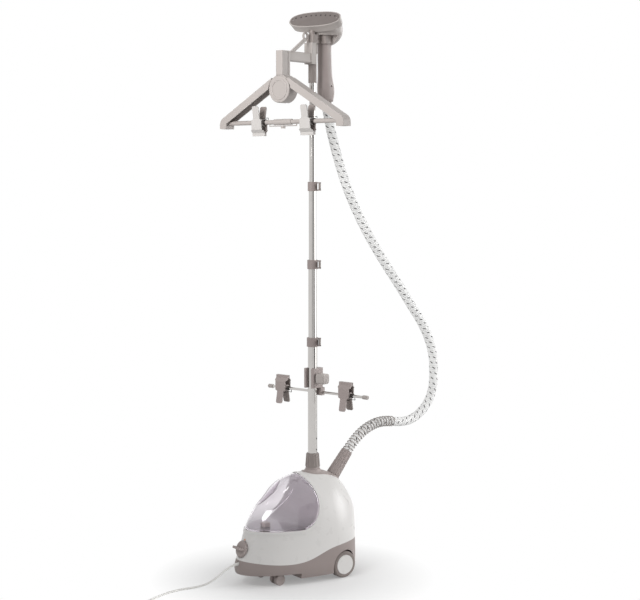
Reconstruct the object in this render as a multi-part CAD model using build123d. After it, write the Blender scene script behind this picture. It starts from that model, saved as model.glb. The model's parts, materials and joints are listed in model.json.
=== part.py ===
from build123d import *
import math
import os

# A rolling garment steamer: a wheeled base with a clear water tank, a telescopic pole,
# a clip hanger, a trouser bar, a steam hose and a hand-held steam head.
# Millimetres, +Z up, front towards -Y, origin on the floor under the pole.

# Base casing: height, half width, front and rear reach of each level
EGG_Y = 10.0
CASE_LEVELS = [
    (18.0, 107.0, -244.0, 124.0),
    (42.0, 115.0, -264.0, 131.0),
    (75.0, 115.0, -259.0, 131.0),
    (108.0, 113.0, -246.0, 131.0),
    (163.0, 109.0, -228.0, 130.0),
    (207.0, 100.0, -203.0, 124.0),
    (239.0, 88.0, -177.0, 109.0),
    (263.0, 74.0, -156.0, 94.0),
    (282.0, 57.0, -136.0, 77.0),
    (296.0, 39.0, -109.0, 53.0),
    (304.0, 25.0, -84.0, 32.0),
    (307.0, 14.0, -60.0, 14.0),
]
CASE_TURN_Z = 150.0
CASE_WALL = 3.0
CASE_REACH = 320.0
CASE_HEIGHT = 400.0

# Line where the white housing meets the grey tray, seen from the side
SPLIT_LINE = [(-320.0, 79.0), (-250.0, 75.0), (-173.0, 66.0), (-148.0, 65.0), (-85.0, 72.0),
              (-17.0, 96.0), (24.0, 104.0), (109.0, 107.0), (180.0, 107.0)]
TRAY_FLOOR = 20.0
TRAY_FRONT_FLOOR = 36.0
TRAY_STEP_Y = -108.0
SCREW_SPOTS = ((-70.0, -40.0), (70.0, -40.0), (-45.0, 100.0), (45.0, 100.0))

# Tank bay: a half-oval cut into the front of the housing
BAY_Y = -107.0
BAY_Z = 240.0
BAY_BACK = 69.0
BAY_RISE = 92.0
BAY_DROP = 80.0
RIM_WIDTH = 8.0
RIM_PROUD = 1.6
TANK_CLEARANCE = 0.6
TANK_WALL = 2.4
SCOOP_CENTRE = (41.0, -147.0, 258.0)
SCOOP_AXES = (27.0, 64.0, 21.0)
SCOOP_PITCH = 37.0
VALVE_Y = -168.0
VALVE_R = 11.0
VALVE_HEIGHT = 13.0

# Rear wheels
WHEEL_R = 39.5
WHEEL_WIDTH = 30.0
WHEEL_Y = 41.0
WHEEL_FACE_X = 108.0
WHEEL_GAP = 5.0
TYRE_EDGE = 6.0
HUBCAP_R = 28.5
HUBCAP_DEPTH = 5.0
AXLE_R = 4.0
TREAD_GROOVE = 1.2
RUN_CLEARANCE = 0.05

# Twin front casters
CASTER_X = 50.0
CASTER_Y = -147.0
CASTER_TRAIL = 12.0
CASTER_R = 16.0
CASTER_WHEEL = 13.0
CASTER_CORE = 9.0
CASTER_GAP = 0.6
CASTER_STEM_R = 4.0
CASTER_POCKET_R = 37.0
CASTER_POCKET_Z = 39.5
CASTER_AXLE_R = 2.5

# Dial on the front
DIAL_CENTRE = (0.0, -245.0, 106.0)
DIAL_TILT = 18.0
DIAL_R = 24.0
DIAL_THICK = 9.0
DIAL_GRIP = (40.0, 7.0, 14.0)
DIAL_SHAFT_R = 3.0
DIAL_FLUTES = 24
LENS_Z = 133.0
LENS_R = 3.0

# Mains cord gland
GLAND_Z = 66.0
GLAND_Y = -252.0
GLAND_LENGTH = 26.0
GLAND_AIM = (0.0, -0.96, -0.28)
CORD_D = 6.0
CORD_TAPER = 0.62
BEND_SHARE = 0.45

# Pole
TUBE_R = (14.0, 12.5, 11.0, 9.5)
TUBE_WALL = 1.2
TUBE_FOOT = 240.0
COLLAR_Z = (691.0, 920.0, 1148.0)
COLLAR_HEIGHT = 27.0
COLLAR_WALL = 3.0
COLLAR_LIP = 5.0
STAGE_OVERLAP = 60.0
POLE_TOP = 1584.0
SNAP_HOLES = (404.0, 371.0)
SNAP_HOLE_R = 2.6
EAR_TURN = 55.0
EAR_WIDTH = 9.0
EAR_REACH = 25.0
LEVER_PIN_R = 1.6
LEVER_LENGTH = 22.0
LEVER_HEIGHT = 17.0
LEVER_THICK = 4.0

# Pole socket and its clamping nut
SOCKET_R = 17.0
FLANGE_R = 33.0
FLANGE_Z = 313.0
NECK_R = 21.0
NECK_Z = 319.0
NUT_TOP = 360.0
NUT_R = (20.5, 17.6)
NUT_RIBS = 14
RIB_R = 1.4
NUT_LIP = 12.0
DECK_FRONT = -33.0
DECK_REAR = 88.0
DECK_HALF = 33.0
DECK_THICK = 1.6

# Hose outlet, tilted back
OUTLET_Y = 71.0
OUTLET_Z = 283.0
OUTLET_TILT = 39.0
HOSE_NUT_R = 20.5
HOSE_NUT_LENGTH = 45.0
HOSE_NUT_START = 3.0
HOSE_COLLAR_R = 17.5
HOSE_COLLAR_END = 88.0
SPIGOT_R = 13.0
SPIGOT_BORE = 9.0
HOSE_D = 28.0
GUARD_WALL = 1.5

# Turn of the hanger, trouser bar and handset about the pole
TOP_YAW = 16.0

# Trouser bar on the lowest tube
BAR_Z = 541.0
BAR_Y = 21.0
BAR_HALF = 180.0
BAR_R = 4.0
BAR_CAP_R = 6.0
BAR_CAP_LENGTH = 18.0
CLAMP_Z = (556.0, 614.0)
CLAMP_HALF = 19.0
CLAMP_WALL = 4.5
CLAMP_MOUTH = 9.5
CLAMP_BACK = 28.0
KNOB_SIZE = 30.0
KNOB_LENGTH = 28.0
KNOB_GAP = 5.0
SCREW_R = 4.0
LOWER_CLIP_X = (-133.0, 109.0)

# Clips: jaw, body and handle
CLIP_JAW_HALF = 23.0
CLIP_BODY_HALF = 18.5
CLIP_HANDLE_HALF = 11.5
CLIP_JAW_REACH = 38.5
CLIP_HANDLE_REACH = 46.0
CLIP_PLATE = 3.6
CLIP_STANDOFF = 10.2
CLIP_KNUCKLE_R = 9.6
CLIP_MIDDLE = 7.5
CLIP_SPLAY = 6.5
CLIP_JAW_GAP = 0.6

# Hanger
HANGER_REACH = 131.0
HUB_R = 38.0
HUB_DEPTH = 37.0
HUB_Z = 1422.0
SHOULDER_WALL = 3.0
COLUMN_HALF = 12.5
COLUMN_DEPTH = 36.0
COLUMN_TOP = 1531.0
ARM_BOTTOM = 1503.0
ARM_HALF = 11.0
ARM_SLOPE = 30.0
ARM_START = 30.0
ARM_TOP_Z = 1455.0
ARM_HEIGHT = 21.0
ARM_DEPTH = 34.0
ARM_WALL = 3.0
TIP_X = 230.0
TIP_WIDTH = 26.0
TIP_Z = 1315.0
TIP_ROUND = 24.0
HANG_BAR_Z = 1331.0
HANG_BAR_R = 6.5
SLEEVE_R = 8.5
SLEEVE_HALF = 33.0
LOOP_HALF = 50.0
LOOP_DROP = 11.0
LOOP_R = 1.5
UPPER_CLIP_X = (-90.0, 90.0)
SLEEVE_Z = (1530.0, 1561.0)
SLEEVE_OUTER = 13.5
STOP_Z = 1447.0
STOP_OUTER = 12.0
SWIVEL_GAP = 0.3
RING_R = 9.0
RING_WIRE = 3.2
RING_Y = -32.0
RING_Z = 1570.0

# Cradle on the pole top
CRADLE_TOP = 1585.7
CRADLE_HALF = 14.0
CRADLE_FRONT = -13.0
FORK_WALL = 4.0
FORK_CLEARANCE = 1.2
FORK_END = 62.0
NUB_R = 8.5
NUB_TOP = 1601.0

# Handset: height, half width, half depth and offset behind the pole of each level
HANDLE_LEVELS = [
    (1396.0, 19.5, 22.0, 62.0),
    (1412.0, 22.0, 25.0, 62.0),
    (1440.0, 22.5, 26.0, 61.0),
    (1478.0, 19.5, 22.0, 57.5),
    (1505.0, 18.9, 21.6, 56.2),
    (1532.0, 18.6, 21.5, 55.6),
    (1559.0, 18.5, 21.5, 55.7),
    (1586.0, 18.5, 21.5, 56.0),
]
HANDLE_POWER = 2.2
HANDLE_BORE_R = 16.2
HANDLE_BORE_TOP = 1470.0
HANDLE_SCREW_Z = (1535.0, 1440.0)
HANDLE_SCREW_R = 3.2
CUFF_FLUTES = 16
HEAD_CENTRE = (0.0, -3.0, 1628.8)
HEAD_TILT = 40.0
HEAD_TURN = 10.0
HEAD_HALF = (83.5, 30.0)
SHELL_DEPTH = 26.0
SHELL_INSET = 4.0
COWL_CENTRE = (0.0, 62.0, 1604.0)
COWL_AXES = (50.0, 52.0, 48.0)
HEAD_CORNER = 2.5
PLATE_THICK = 3.0
PLATE_INSET = 4.0
BEZEL_DEPTH = 12.0
STEAM_HOLES = 9
STEAM_HOLE_R = 1.5
STEAM_ARC = 64.0
STEAM_HOLE_RISE = 14.0

# Boiler and switch inside the base
BOILER = (62.0, 74.0, 52.0)
BOILER_Y = -12.0
BOILER_Z = 36.0
ELEMENT_R = 4.0
PIPE_R = 4.5
SWITCH = (30.0, 34.0, 30.0)

# Mains plug with two round pins
PIN_R = 2.4
PIN_LENGTH = 19.0
PIN_SPACING = 19.0
PLUG_SIZE = (35.0, 36.0, 20.0)
PLUG_AT = (85.0, -707.0)
PLUG_TAIL_R = 7.7
COIL_AT = (36.0, -668.0)
COIL_R = 33.0
COIL_ROWS = 3
COIL_LAYERS = 2
COIL_PITCH = 6.3

# Cord routes, chosen by hand
HOSE_LOWER_ROUTE = [
    (0.0, 126.38, 351.39), (0.0, 149.04, 379.37), (0.0, 197.0, 415.0), (0.0, 258.0, 432.0),
    (0.0, 342.0, 416.5), (0.0, 395.4, 430.0), (0.0, 438.0, 465.0), (0.0, 461.0, 512.0),
    (0.0, 463.0, 566.0), (0.0, 462.3, 580.0),
]
HOSE_UPPER_ROUTE = [
    (0.0, 462.3, 580.0), (0.0, 460.5, 616.0), (-2.0, 448.0, 664.0), (-3.4, 418.0, 722.0),
    (-5.0, 374.0, 780.0), (-6.0, 332.0, 838.0), (-8.0, 272.0, 915.0), (-9.5, 217.0, 992.0),
    (-11.2, 172.0, 1066.0), (-12.8, 135.0, 1140.0), (-14.4, 108.0, 1210.0), (-16.0, 85.0, 1285.0),
    (-17.0, 69.0, 1345.0), (-17.1, 60.5, 1394.0), (-17.1, 59.6, 1452.0),
]
MAINS_ROUTE = [
    (0.0, -276.0, 64.0), (0.0, -299.04, 57.28), (-11.0, -322.0, 35.0), (-31.0, -346.0, 12.0),
    (-50.0, -378.0, 3.2), (-58.0, -418.0, 3.0), (-51.0, -464.0, 3.0), (-30.0, -514.0, 3.0),
    (-6.0, -563.0, 3.0), (3.0, -610.0, 3.0), (2.0, -647.0, 3.0), (8.0, -672.0, 3.0),
]
GUARD_POINTS = 4


# General shapes

def rod(start, end, radius):
    along = Vector(*end) - Vector(*start)
    bottom = (Align.CENTER, Align.CENTER, Align.MIN)
    return Plane(origin=start, z_dir=along) * Cylinder(radius, along.length, align=bottom)


def tube(start, end, outer, inner):
    return rod(start, end, outer) - rod(start, end, inner)


def block(x0, x1, y0, y1, z0, z1):
    centre = Pos((x0 + x1) / 2, (y0 + y1) / 2, (z0 + z1) / 2)
    return centre * Box(abs(x1 - x0), abs(y1 - y0), abs(z1 - z0))


def side_prism(outline, x0, x1):
    return extrude(Plane.YZ.offset(x0) * make_face(outline), x1 - x0)


def front_prism(outline, y0, y1):
    return extrude(Plane.XZ.offset(-y1) * make_face(outline), y1 - y0)


def mirrored(shape):
    return mirror(shape, about=Plane.YZ)


def yawed(shape):
    return Rot(0, 0, TOP_YAW) * shape


def oval(half_x, half_y, power, points=20):
    corners = []
    for step in range(points):
        angle = 2 * math.pi * step / points
        cos, sin = math.cos(angle), math.sin(angle)
        x = math.copysign(abs(cos) ** (2 / power), cos) * half_x
        y = math.copysign(abs(sin) ** (2 / power), sin) * half_y
        corners.append((x, y))
    return make_face(Spline(*corners, periodic=True))


# Base casing

def egg(z, half_width, front, rear):
    nose = EllipticalCenterArc((0, EGG_Y), half_width, EGG_Y - front, start_angle=180, arc_size=180)
    tail = EllipticalCenterArc((0, EGG_Y), half_width, rear - EGG_Y, start_angle=0, arc_size=180)
    return Pos(0, 0, z) * make_face([nose, tail])


def casing(grow):
    sections = []
    for z, half_width, front, rear in CASE_LEVELS:
        level = z + grow if z > CASE_TURN_Z else z
        sections.append(egg(level, half_width + grow, front - grow, rear + grow))
    return loft(sections)


def below_split():
    top = Spline(*SPLIT_LINE)
    first, last = SPLIT_LINE[0], SPLIT_LINE[-1]
    rest = Polyline(last, (last[0], -CASE_REACH), (first[0], -CASE_REACH), first)
    return side_prism([top, rest], -CASE_REACH, CASE_REACH)


def bay(margin):
    back, rise, drop = BAY_BACK + margin, BAY_RISE + margin, BAY_DROP + margin
    upper = EllipticalCenterArc((BAY_Y, BAY_Z), back, rise, start_angle=0, arc_size=90)
    lower = EllipticalCenterArc((BAY_Y, BAY_Z), back, drop, start_angle=270, arc_size=90)
    top, bottom = (BAY_Y, BAY_Z + rise), (BAY_Y, BAY_Z - drop)
    front = Polyline(top, (-CASE_REACH, top[1]), (-CASE_REACH, bottom[1]), bottom)
    return side_prism([lower, upper, front], -CASE_REACH, CASE_REACH)


def wheel_pocket(side, radius, inner_x):
    return rod((side * inner_x, WHEEL_Y, WHEEL_R), (side * CASE_REACH, WHEEL_Y, WHEEL_R), radius)


def dial_axis():
    tilt = math.radians(DIAL_TILT)
    return Vector(0, -math.cos(tilt), math.sin(tilt))


def along_dial(distance):
    return tuple(Vector(*DIAL_CENTRE) + dial_axis() * distance)


def outlet_axis():
    tilt = math.radians(OUTLET_TILT)
    return Vector(0, math.sin(tilt), math.cos(tilt))


def along_outlet(distance):
    return tuple(Vector(0, OUTLET_Y, OUTLET_Z) + outlet_axis() * distance)


WHEEL_INNER_X = WHEEL_FACE_X - WHEEL_WIDTH
POCKET_X = WHEEL_INNER_X - WHEEL_GAP
POCKET_R = WHEEL_R + WHEEL_GAP


def base_tray(envelope, cavity, split):
    tray = envelope & split
    tray -= block(-CASE_REACH, CASE_REACH, -CASE_REACH, CASE_REACH, -CASE_REACH, TRAY_FLOOR)
    tray -= block(-CASE_REACH, CASE_REACH, -CASE_REACH, TRAY_STEP_Y, -CASE_REACH, TRAY_FRONT_FLOOR)
    front_wall = TRAY_FRONT_FLOOR + CASE_WALL
    inner_floor = TRAY_FLOOR + CASE_WALL
    room = cavity - block(-CASE_REACH, CASE_REACH, -CASE_REACH, CASE_REACH, -CASE_REACH, inner_floor)
    room -= block(-CASE_REACH, CASE_REACH, -CASE_REACH, TRAY_STEP_Y + CASE_WALL, -CASE_REACH, front_wall)
    for side in (-1, 1):
        room -= wheel_pocket(side, POCKET_R + CASE_WALL, POCKET_X - CASE_WALL)
        spot = (side * CASTER_X, CASTER_Y)
        room -= rod((*spot, 0), (*spot, CASTER_POCKET_Z + CASE_WALL), CASTER_POCKET_R + CASE_WALL)
        room -= rod((*spot, 0), (*spot, SPLIT_LINE[3][1] - CASE_WALL), 3 * CASTER_STEM_R)
    half_x, half_y = BOILER[0] / 2, BOILER[1] / 2
    room -= block(-half_x, half_x, BOILER_Y - half_y, BOILER_Y + half_y, 0, BOILER_Z)
    tray -= room
    for side in (-1, 1):
        tray -= wheel_pocket(side, POCKET_R, POCKET_X)
        spot = (side * CASTER_X, CASTER_Y)
        tray -= rod((*spot, 0), (*spot, CASTER_POCKET_Z), CASTER_POCKET_R)
        stem_top = CASTER_POCKET_Z + CASE_WALL + 2 * CASTER_STEM_R
        tray -= rod((*spot, 0), (*spot, stem_top), CASTER_STEM_R + RUN_CLEARANCE)
    tray -= rod((-POCKET_X, WHEEL_Y, WHEEL_R), (POCKET_X, WHEEL_Y, WHEEL_R), AXLE_R)
    gland_out = (0, GLAND_Y - GLAND_LENGTH, GLAND_Z)
    tray -= rod((0, GLAND_Y + GLAND_LENGTH, GLAND_Z), gland_out, CORD_D)
    return tray


def upper_housing(envelope, cavity, split):
    housing = envelope - split
    room = cavity - bay(CASE_WALL)
    housing -= room
    rim = (casing(RIM_PROUD) & bay(RIM_WIDTH)) - casing(-CASE_WALL / 2) - split
    housing += rim
    housing -= bay(0)
    boss = rod(along_dial(-2 * CASE_WALL), along_dial(0), DIAL_R + CASE_WALL) & envelope
    housing += boss
    housing -= rod(along_dial(0), along_dial(CASE_REACH), DIAL_R + CASE_WALL)
    housing -= rod(along_dial(-CASE_REACH / 4), along_dial(CASE_WALL), DIAL_SHAFT_R + CASE_WALL)
    housing -= rod((0, 0, BAY_Z), (0, 0, CASE_HEIGHT), SOCKET_R)
    housing -= rod(along_outlet(-CASE_REACH / 8), along_outlet(CASE_REACH), SPIGOT_R)
    lens_y = DIAL_CENTRE[1]
    housing -= rod((0, lens_y - DIAL_R, LENS_Z), (0, lens_y + DIAL_R + CASE_WALL, LENS_Z), LENS_R)
    valve = (0, VALVE_Y)
    bay_floor = BAY_Z - BAY_DROP
    housing -= rod((*valve, bay_floor - 2 * CASE_WALL), (*valve, bay_floor), PIPE_R)
    return housing


def deck_plate(envelope):
    plan = Pos(0, (DECK_FRONT + DECK_REAR) / 2) * oval(DECK_HALF, (DECK_REAR - DECK_FRONT) / 2, 2.6)
    plate = extrude(Pos(0, 0, BAY_Z) * plan, CASE_HEIGHT - BAY_Z, dir=(0, 0, 1)) & casing(DECK_THICK)
    flange = Pos(0, 0, FLANGE_Z) * Circle(NECK_R + RIB_R)
    foot = Pos(0, 0, CASE_LEVELS[-3][0]) * Circle(FLANGE_R)
    plate += loft([foot, flange])
    plate += rod((0, 0, FLANGE_Z), (0, 0, NECK_Z), NECK_R)
    plate -= envelope
    sleeve = rod((0, 0, TUBE_FOOT - CASE_WALL), (0, 0, NUT_TOP - NUT_LIP - SWIVEL_GAP), SOCKET_R)
    plate += sleeve
    plate -= rod((0, 0, TUBE_FOOT), (0, 0, CASE_HEIGHT), TUBE_R[0])
    plate -= rod(along_outlet(-CASE_REACH / 8), along_outlet(CASE_REACH), HOSE_NUT_R + SWIVEL_GAP)
    return plate


def tank_shell(envelope):
    outer = envelope & bay(-TANK_CLEARANCE)
    inner = casing(-TANK_WALL) & bay(-TANK_CLEARANCE - TANK_WALL)
    for side in (-1, 1):
        outer -= scoop(side, 0)
        inner -= scoop(side, TANK_WALL)
    shell = outer - inner
    floor = BAY_Z - BAY_DROP
    shell -= rod((0, VALVE_Y, floor), (0, VALVE_Y, floor + 2 * VALVE_HEIGHT), VALVE_R)
    return shell


def scoop(side, grow):
    ball = scale(Sphere(1), by=tuple(axis + grow for axis in SCOOP_AXES))
    x, y, z = SCOOP_CENTRE
    return Pos(side * x, y, z) * Rot(SCOOP_PITCH, 0, 0) * ball


def tank_valve():
    floor = BAY_Z - BAY_DROP + TANK_CLEARANCE
    cap = rod((0, VALVE_Y, floor), (0, VALVE_Y, floor + TANK_WALL), VALVE_R)
    body = block(-VALVE_R, VALVE_R, VALVE_Y - VALVE_R, VALVE_Y + VALVE_R,
                 floor + TANK_WALL, floor + VALVE_HEIGHT)
    body = fillet(body.edges().filter_by(Axis.Z), VALVE_R / 4)
    return cap + body


def boiler():
    half_x, half_y = BOILER[0] / 2, BOILER[1] / 2
    body = block(-half_x, half_x, BOILER_Y - half_y, BOILER_Y + half_y, BOILER_Z, BOILER_Z + BOILER[2])
    return fillet(body.edges().filter_by(Axis.Z), half_x / 4)


def heating_element():
    top = BOILER_Z + BOILER[2]
    leg = BOILER[0] / 4
    back = BOILER_Y + BOILER[1] / 4
    shape = Plane(origin=(0, 0, top + ELEMENT_R)) * Polyline(
        (-leg, BOILER_Y - BOILER[1] / 4), (-leg, back), (leg, back), (leg, BOILER_Y - BOILER[1] / 4))
    start = Plane(origin=shape @ 0, z_dir=shape % 0)
    return sweep(start * Circle(ELEMENT_R), path=shape, transition=Transition.ROUND)


def boiler_pipes():
    front = BOILER_Y - BOILER[1] / 2
    middle = BOILER_Z + BOILER[2] / 2
    valve_foot = BAY_Z - BAY_DROP - CASE_WALL
    down = rod((0, VALVE_Y, middle), (0, VALVE_Y, valve_foot), PIPE_R)
    back = rod((0, VALVE_Y - PIPE_R, middle), (0, front, middle), PIPE_R)
    spigot = Vector(*along_outlet(0))
    riser_y = BOILER_Y + BOILER[1] / 2 - PIPE_R - TANK_WALL
    bend = spigot.Z - (spigot.Y - riser_y) / math.tan(math.radians(OUTLET_TILT))
    riser = rod((0, riser_y, BOILER_Z + BOILER[2]), (0, riser_y, bend), PIPE_R)
    riser += Pos(0, riser_y, bend) * Sphere(PIPE_R)
    riser += rod((0, riser_y, bend), along_outlet(-HOSE_NUT_START), PIPE_R)
    return [down + back, riser]


def power_switch():
    half_x, half_z = SWITCH[0] / 2, SWITCH[2] / 2
    lift = 2 * CASE_WALL
    body = Pos(0, 0, -SWITCH[1] / 2) * Box(2 * half_x, 2 * half_z, SWITCH[1])
    at = Plane(origin=along_dial(-lift), z_dir=dial_axis())
    return (at * body) - rod(along_dial(-2 * lift), along_dial(0), DIAL_SHAFT_R + RUN_CLEARANCE)


def dial():
    gap = SWIVEL_GAP
    face = Plane(origin=along_dial(gap), x_dir=(1, 0, 0), z_dir=dial_axis())
    disc = Cylinder(DIAL_R, DIAL_THICK, align=(Align.CENTER, Align.CENTER, Align.MIN))
    disc = chamfer(disc.faces().sort_by(Axis.Z)[-1].edges(), DIAL_THICK / 4)
    for step in range(DIAL_FLUTES):
        turn = Rot(0, 0, 360 * step / DIAL_FLUTES)
        disc -= turn * Pos(DIAL_R + RIB_R / 2, 0, 0) * Cylinder(RIB_R, 2 * DIAL_THICK)
    length, width, height = DIAL_GRIP
    grip = Box(length, width, height + TANK_WALL, align=(Align.CENTER, Align.CENTER, Align.MIN))
    grip = Pos(0, 0, DIAL_THICK - TANK_WALL) * fillet(grip.edges().filter_by(Axis.Z), width / 3)
    shaft = Pos(0, 0, -gap - 3 * CASE_WALL) * Cylinder(
        DIAL_SHAFT_R, 3 * CASE_WALL + gap + DIAL_THICK / 2, align=(Align.CENTER, Align.CENTER, Align.MIN))
    return face * (disc + grip + shaft)


def indicator_lens(envelope):
    lens_y = DIAL_CENTRE[1]
    return rod((0, lens_y - DIAL_R, LENS_Z), (0, lens_y + DIAL_R, LENS_Z), LENS_R) & envelope


def cord_gland():
    tip = (0, GLAND_Y - GLAND_LENGTH + 2, GLAND_Z - 2)
    root = Plane(origin=(0, GLAND_Y + CASE_WALL, GLAND_Z), z_dir=(0, -1, 0))
    end = Plane(origin=tip, z_dir=GLAND_AIM)
    body = loft([root * Circle(CORD_D - RUN_CLEARANCE), end * Circle(CORD_TAPER * CORD_D)])
    return body


def rear_wheel():
    wheel = rod((WHEEL_INNER_X, WHEEL_Y, WHEEL_R), (WHEEL_FACE_X, WHEEL_Y, WHEEL_R), WHEEL_R)
    wheel = fillet(wheel.edges().filter_by(GeomType.CIRCLE), TYRE_EDGE)
    seat = HUBCAP_R + SWIVEL_GAP
    wheel -= rod((WHEEL_FACE_X - HUBCAP_DEPTH, WHEEL_Y, WHEEL_R), (WHEEL_FACE_X, WHEEL_Y, WHEEL_R), seat)
    axle_end = WHEEL_FACE_X - 2 * HUBCAP_DEPTH
    wheel -= rod((0, WHEEL_Y, WHEEL_R), (axle_end, WHEEL_Y, WHEEL_R), AXLE_R + RUN_CLEARANCE)
    for share in (0.35, 0.65):
        x = WHEEL_INNER_X + share * WHEEL_WIDTH
        ends = (x - TREAD_GROOVE, WHEEL_Y, WHEEL_R), (x + TREAD_GROOVE, WHEEL_Y, WHEEL_R)
        wheel -= tube(*ends, WHEEL_R + 1, WHEEL_R - TREAD_GROOVE)
    return wheel


def hubcap():
    inner = (WHEEL_FACE_X - HUBCAP_DEPTH, WHEEL_Y, WHEEL_R)
    cap = rod(inner, (WHEEL_FACE_X + TREAD_GROOVE, WHEEL_Y, WHEEL_R), HUBCAP_R)
    return fillet(cap.faces().sort_by(Axis.X)[-1].edges(), TREAD_GROOVE)


def caster_fork():
    stem_top = CASTER_POCKET_Z + CASE_WALL + 2 * CASTER_STEM_R - CASTER_GAP
    plate_z = 2 * CASTER_R + 2 * CASTER_GAP
    fork = rod((0, 0, plate_z), (0, 0, stem_top), CASTER_STEM_R)
    fork += rod((0, 0, plate_z), (0, 0, CASTER_POCKET_Z - CASTER_GAP), CASTER_R)
    half = CASTER_CORE / 2
    web = block(-half, half, -CASTER_TRAIL - CASTER_R / 2, CASTER_R / 2, CASTER_R / 2, plate_z + CASTER_GAP)
    web = fillet(web.edges().filter_by(Axis.X), CASTER_R / 4)
    width = half + CASTER_WHEEL
    pin = rod((-width, -CASTER_TRAIL, CASTER_R), (width, -CASTER_TRAIL, CASTER_R), CASTER_AXLE_R)
    return fork + web + pin


def caster_wheels():
    inner = CASTER_CORE / 2 + CASTER_GAP
    outer = inner + CASTER_WHEEL
    wheel = rod((inner, -CASTER_TRAIL, CASTER_R), (outer, -CASTER_TRAIL, CASTER_R), CASTER_R)
    wheel = fillet(wheel.faces().sort_by(Axis.X)[-1].edges(), CASTER_R / 5)
    bore = rod((0, -CASTER_TRAIL, CASTER_R), (outer - CASTER_GAP, -CASTER_TRAIL, CASTER_R),
               CASTER_AXLE_R + RUN_CLEARANCE)
    wheel -= bore
    return [wheel, mirrored(wheel)]


def housing_screws():
    screws = []
    for x, y in SCREW_SPOTS:
        head = rod((x, y, TRAY_FLOOR - TREAD_GROOVE), (x, y, TRAY_FLOOR), AXLE_R)
        screws.append(head)
    return screws


# Pole

def stage_tube(index):
    outer = TUBE_R[index]
    foot = TUBE_FOOT if index == 0 else COLLAR_Z[index - 1] - STAGE_OVERLAP
    top = POLE_TOP if index == len(COLLAR_Z) else COLLAR_Z[index] + COLLAR_HEIGHT / 2 - COLLAR_LIP
    shell = tube((0, 0, foot), (0, 0, top), outer, outer - TUBE_WALL)
    if index == 0:
        for z in SNAP_HOLES:
            shell -= Rot(0, 0, EAR_TURN - 30) * rod((0, 0, z), (2 * outer, 0, z), SNAP_HOLE_R)
    return shell


def ear_pin():
    return TUBE_R[0] + COLLAR_WALL + LEVER_THICK


def lock_collar(index):
    middle = COLLAR_Z[index]
    low, high = middle - COLLAR_HEIGHT / 2, middle + COLLAR_HEIGHT / 2
    outer, inner = TUBE_R[index], TUBE_R[index + 1]
    collar = rod((0, 0, low), (0, 0, high), outer + COLLAR_WALL)
    collar = fillet(collar.edges().filter_by(GeomType.CIRCLE), COLLAR_WALL / 3)
    half = EAR_WIDTH / 2
    ear = block(0, EAR_REACH, -half, half, low + TUBE_WALL, high - TUBE_WALL)
    ear -= rod((0, 0, low), (0, 0, high), outer)
    room = LEVER_HEIGHT / 2 + SWIVEL_GAP
    gap = block(outer + COLLAR_WALL, 2 * EAR_REACH, -EAR_WIDTH, EAR_WIDTH, middle - room, middle + room)
    pin_x = ear_pin()
    pin = rod((pin_x, 0, low + TUBE_WALL), (pin_x, 0, high - TUBE_WALL), LEVER_PIN_R)
    collar += (ear - gap) + pin
    collar -= rod((0, 0, low), (0, 0, high - COLLAR_LIP), outer)
    collar -= rod((0, 0, low), (0, 0, high), inner + SWIVEL_GAP)
    return Rot(0, 0, EAR_TURN) * collar


def lock_lever(index):
    middle = COLLAR_Z[index]
    low, high = middle - LEVER_HEIGHT / 2, middle + LEVER_HEIGHT / 2
    pin_x = ear_pin()
    half = LEVER_THICK / 2
    hub = rod((pin_x, 0, low), (pin_x, 0, high), LEVER_THICK - 2 * SWIVEL_GAP)
    plate = block(pin_x - half, pin_x + half, -LEVER_LENGTH, 0, low, high)
    plate = fillet(plate.edges().filter_by(Axis.X), LEVER_THICK / 2)
    lever = hub + plate
    lever -= rod((pin_x, 0, low), (pin_x, 0, high), LEVER_PIN_R + RUN_CLEARANCE)
    lever -= rod((0, 0, low), (0, 0, high), TUBE_R[0] + COLLAR_WALL + SWIVEL_GAP)
    return Rot(0, 0, EAR_TURN) * lever


def ribbed_cone(height, low_r, high_r, ribs):
    body = loft([Circle(low_r), Pos(0, 0, height) * Circle(high_r)])
    for step in range(ribs):
        angle = 2 * math.pi * step / ribs
        spot = math.cos(angle), math.sin(angle)
        start = (low_r * spot[0], low_r * spot[1], RIB_R)
        end = (high_r * spot[0], high_r * spot[1], height - RIB_R)
        body += rod(start, end, RIB_R)
    return body


def pole_nut():
    height = NUT_TOP - NECK_Z - SWIVEL_GAP
    nut = Pos(0, 0, NECK_Z + SWIVEL_GAP) * ribbed_cone(height, *NUT_R, NUT_RIBS)
    nut -= rod((0, 0, NECK_Z), (0, 0, NUT_TOP - NUT_LIP), SOCKET_R + SWIVEL_GAP)
    nut -= rod((0, 0, NECK_Z), (0, 0, NUT_TOP + NUT_LIP), TUBE_R[0] + SWIVEL_GAP)
    return nut


# Hose outlet

def hose_nut():
    at = Plane(origin=along_outlet(HOSE_NUT_START), z_dir=outlet_axis())
    nut = ribbed_cone(HOSE_NUT_LENGTH, HOSE_NUT_R - RIB_R, HOSE_NUT_R - 2 * RIB_R, NUT_RIBS)
    end = HOSE_NUT_START + HOSE_NUT_LENGTH
    return at * nut - rod(along_outlet(0), along_outlet(end + RIB_R), SPIGOT_R + SWIVEL_GAP)


def hose_outlet():
    nut_end = HOSE_NUT_START + HOSE_NUT_LENGTH
    fitting = rod(along_outlet(-HOSE_NUT_START), along_outlet(HOSE_COLLAR_END), SPIGOT_R)
    collar_start = nut_end + SWIVEL_GAP
    at = Plane(origin=along_outlet(collar_start), z_dir=outlet_axis())
    length = HOSE_COLLAR_END - collar_start
    fitting += at * ribbed_cone(length, HOSE_COLLAR_R, HOSE_COLLAR_R - RIB_R, NUT_RIBS)
    fitting -= rod(along_outlet(-CASE_REACH), along_outlet(CASE_REACH), SPIGOT_BORE)
    return fitting


# Cords

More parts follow.
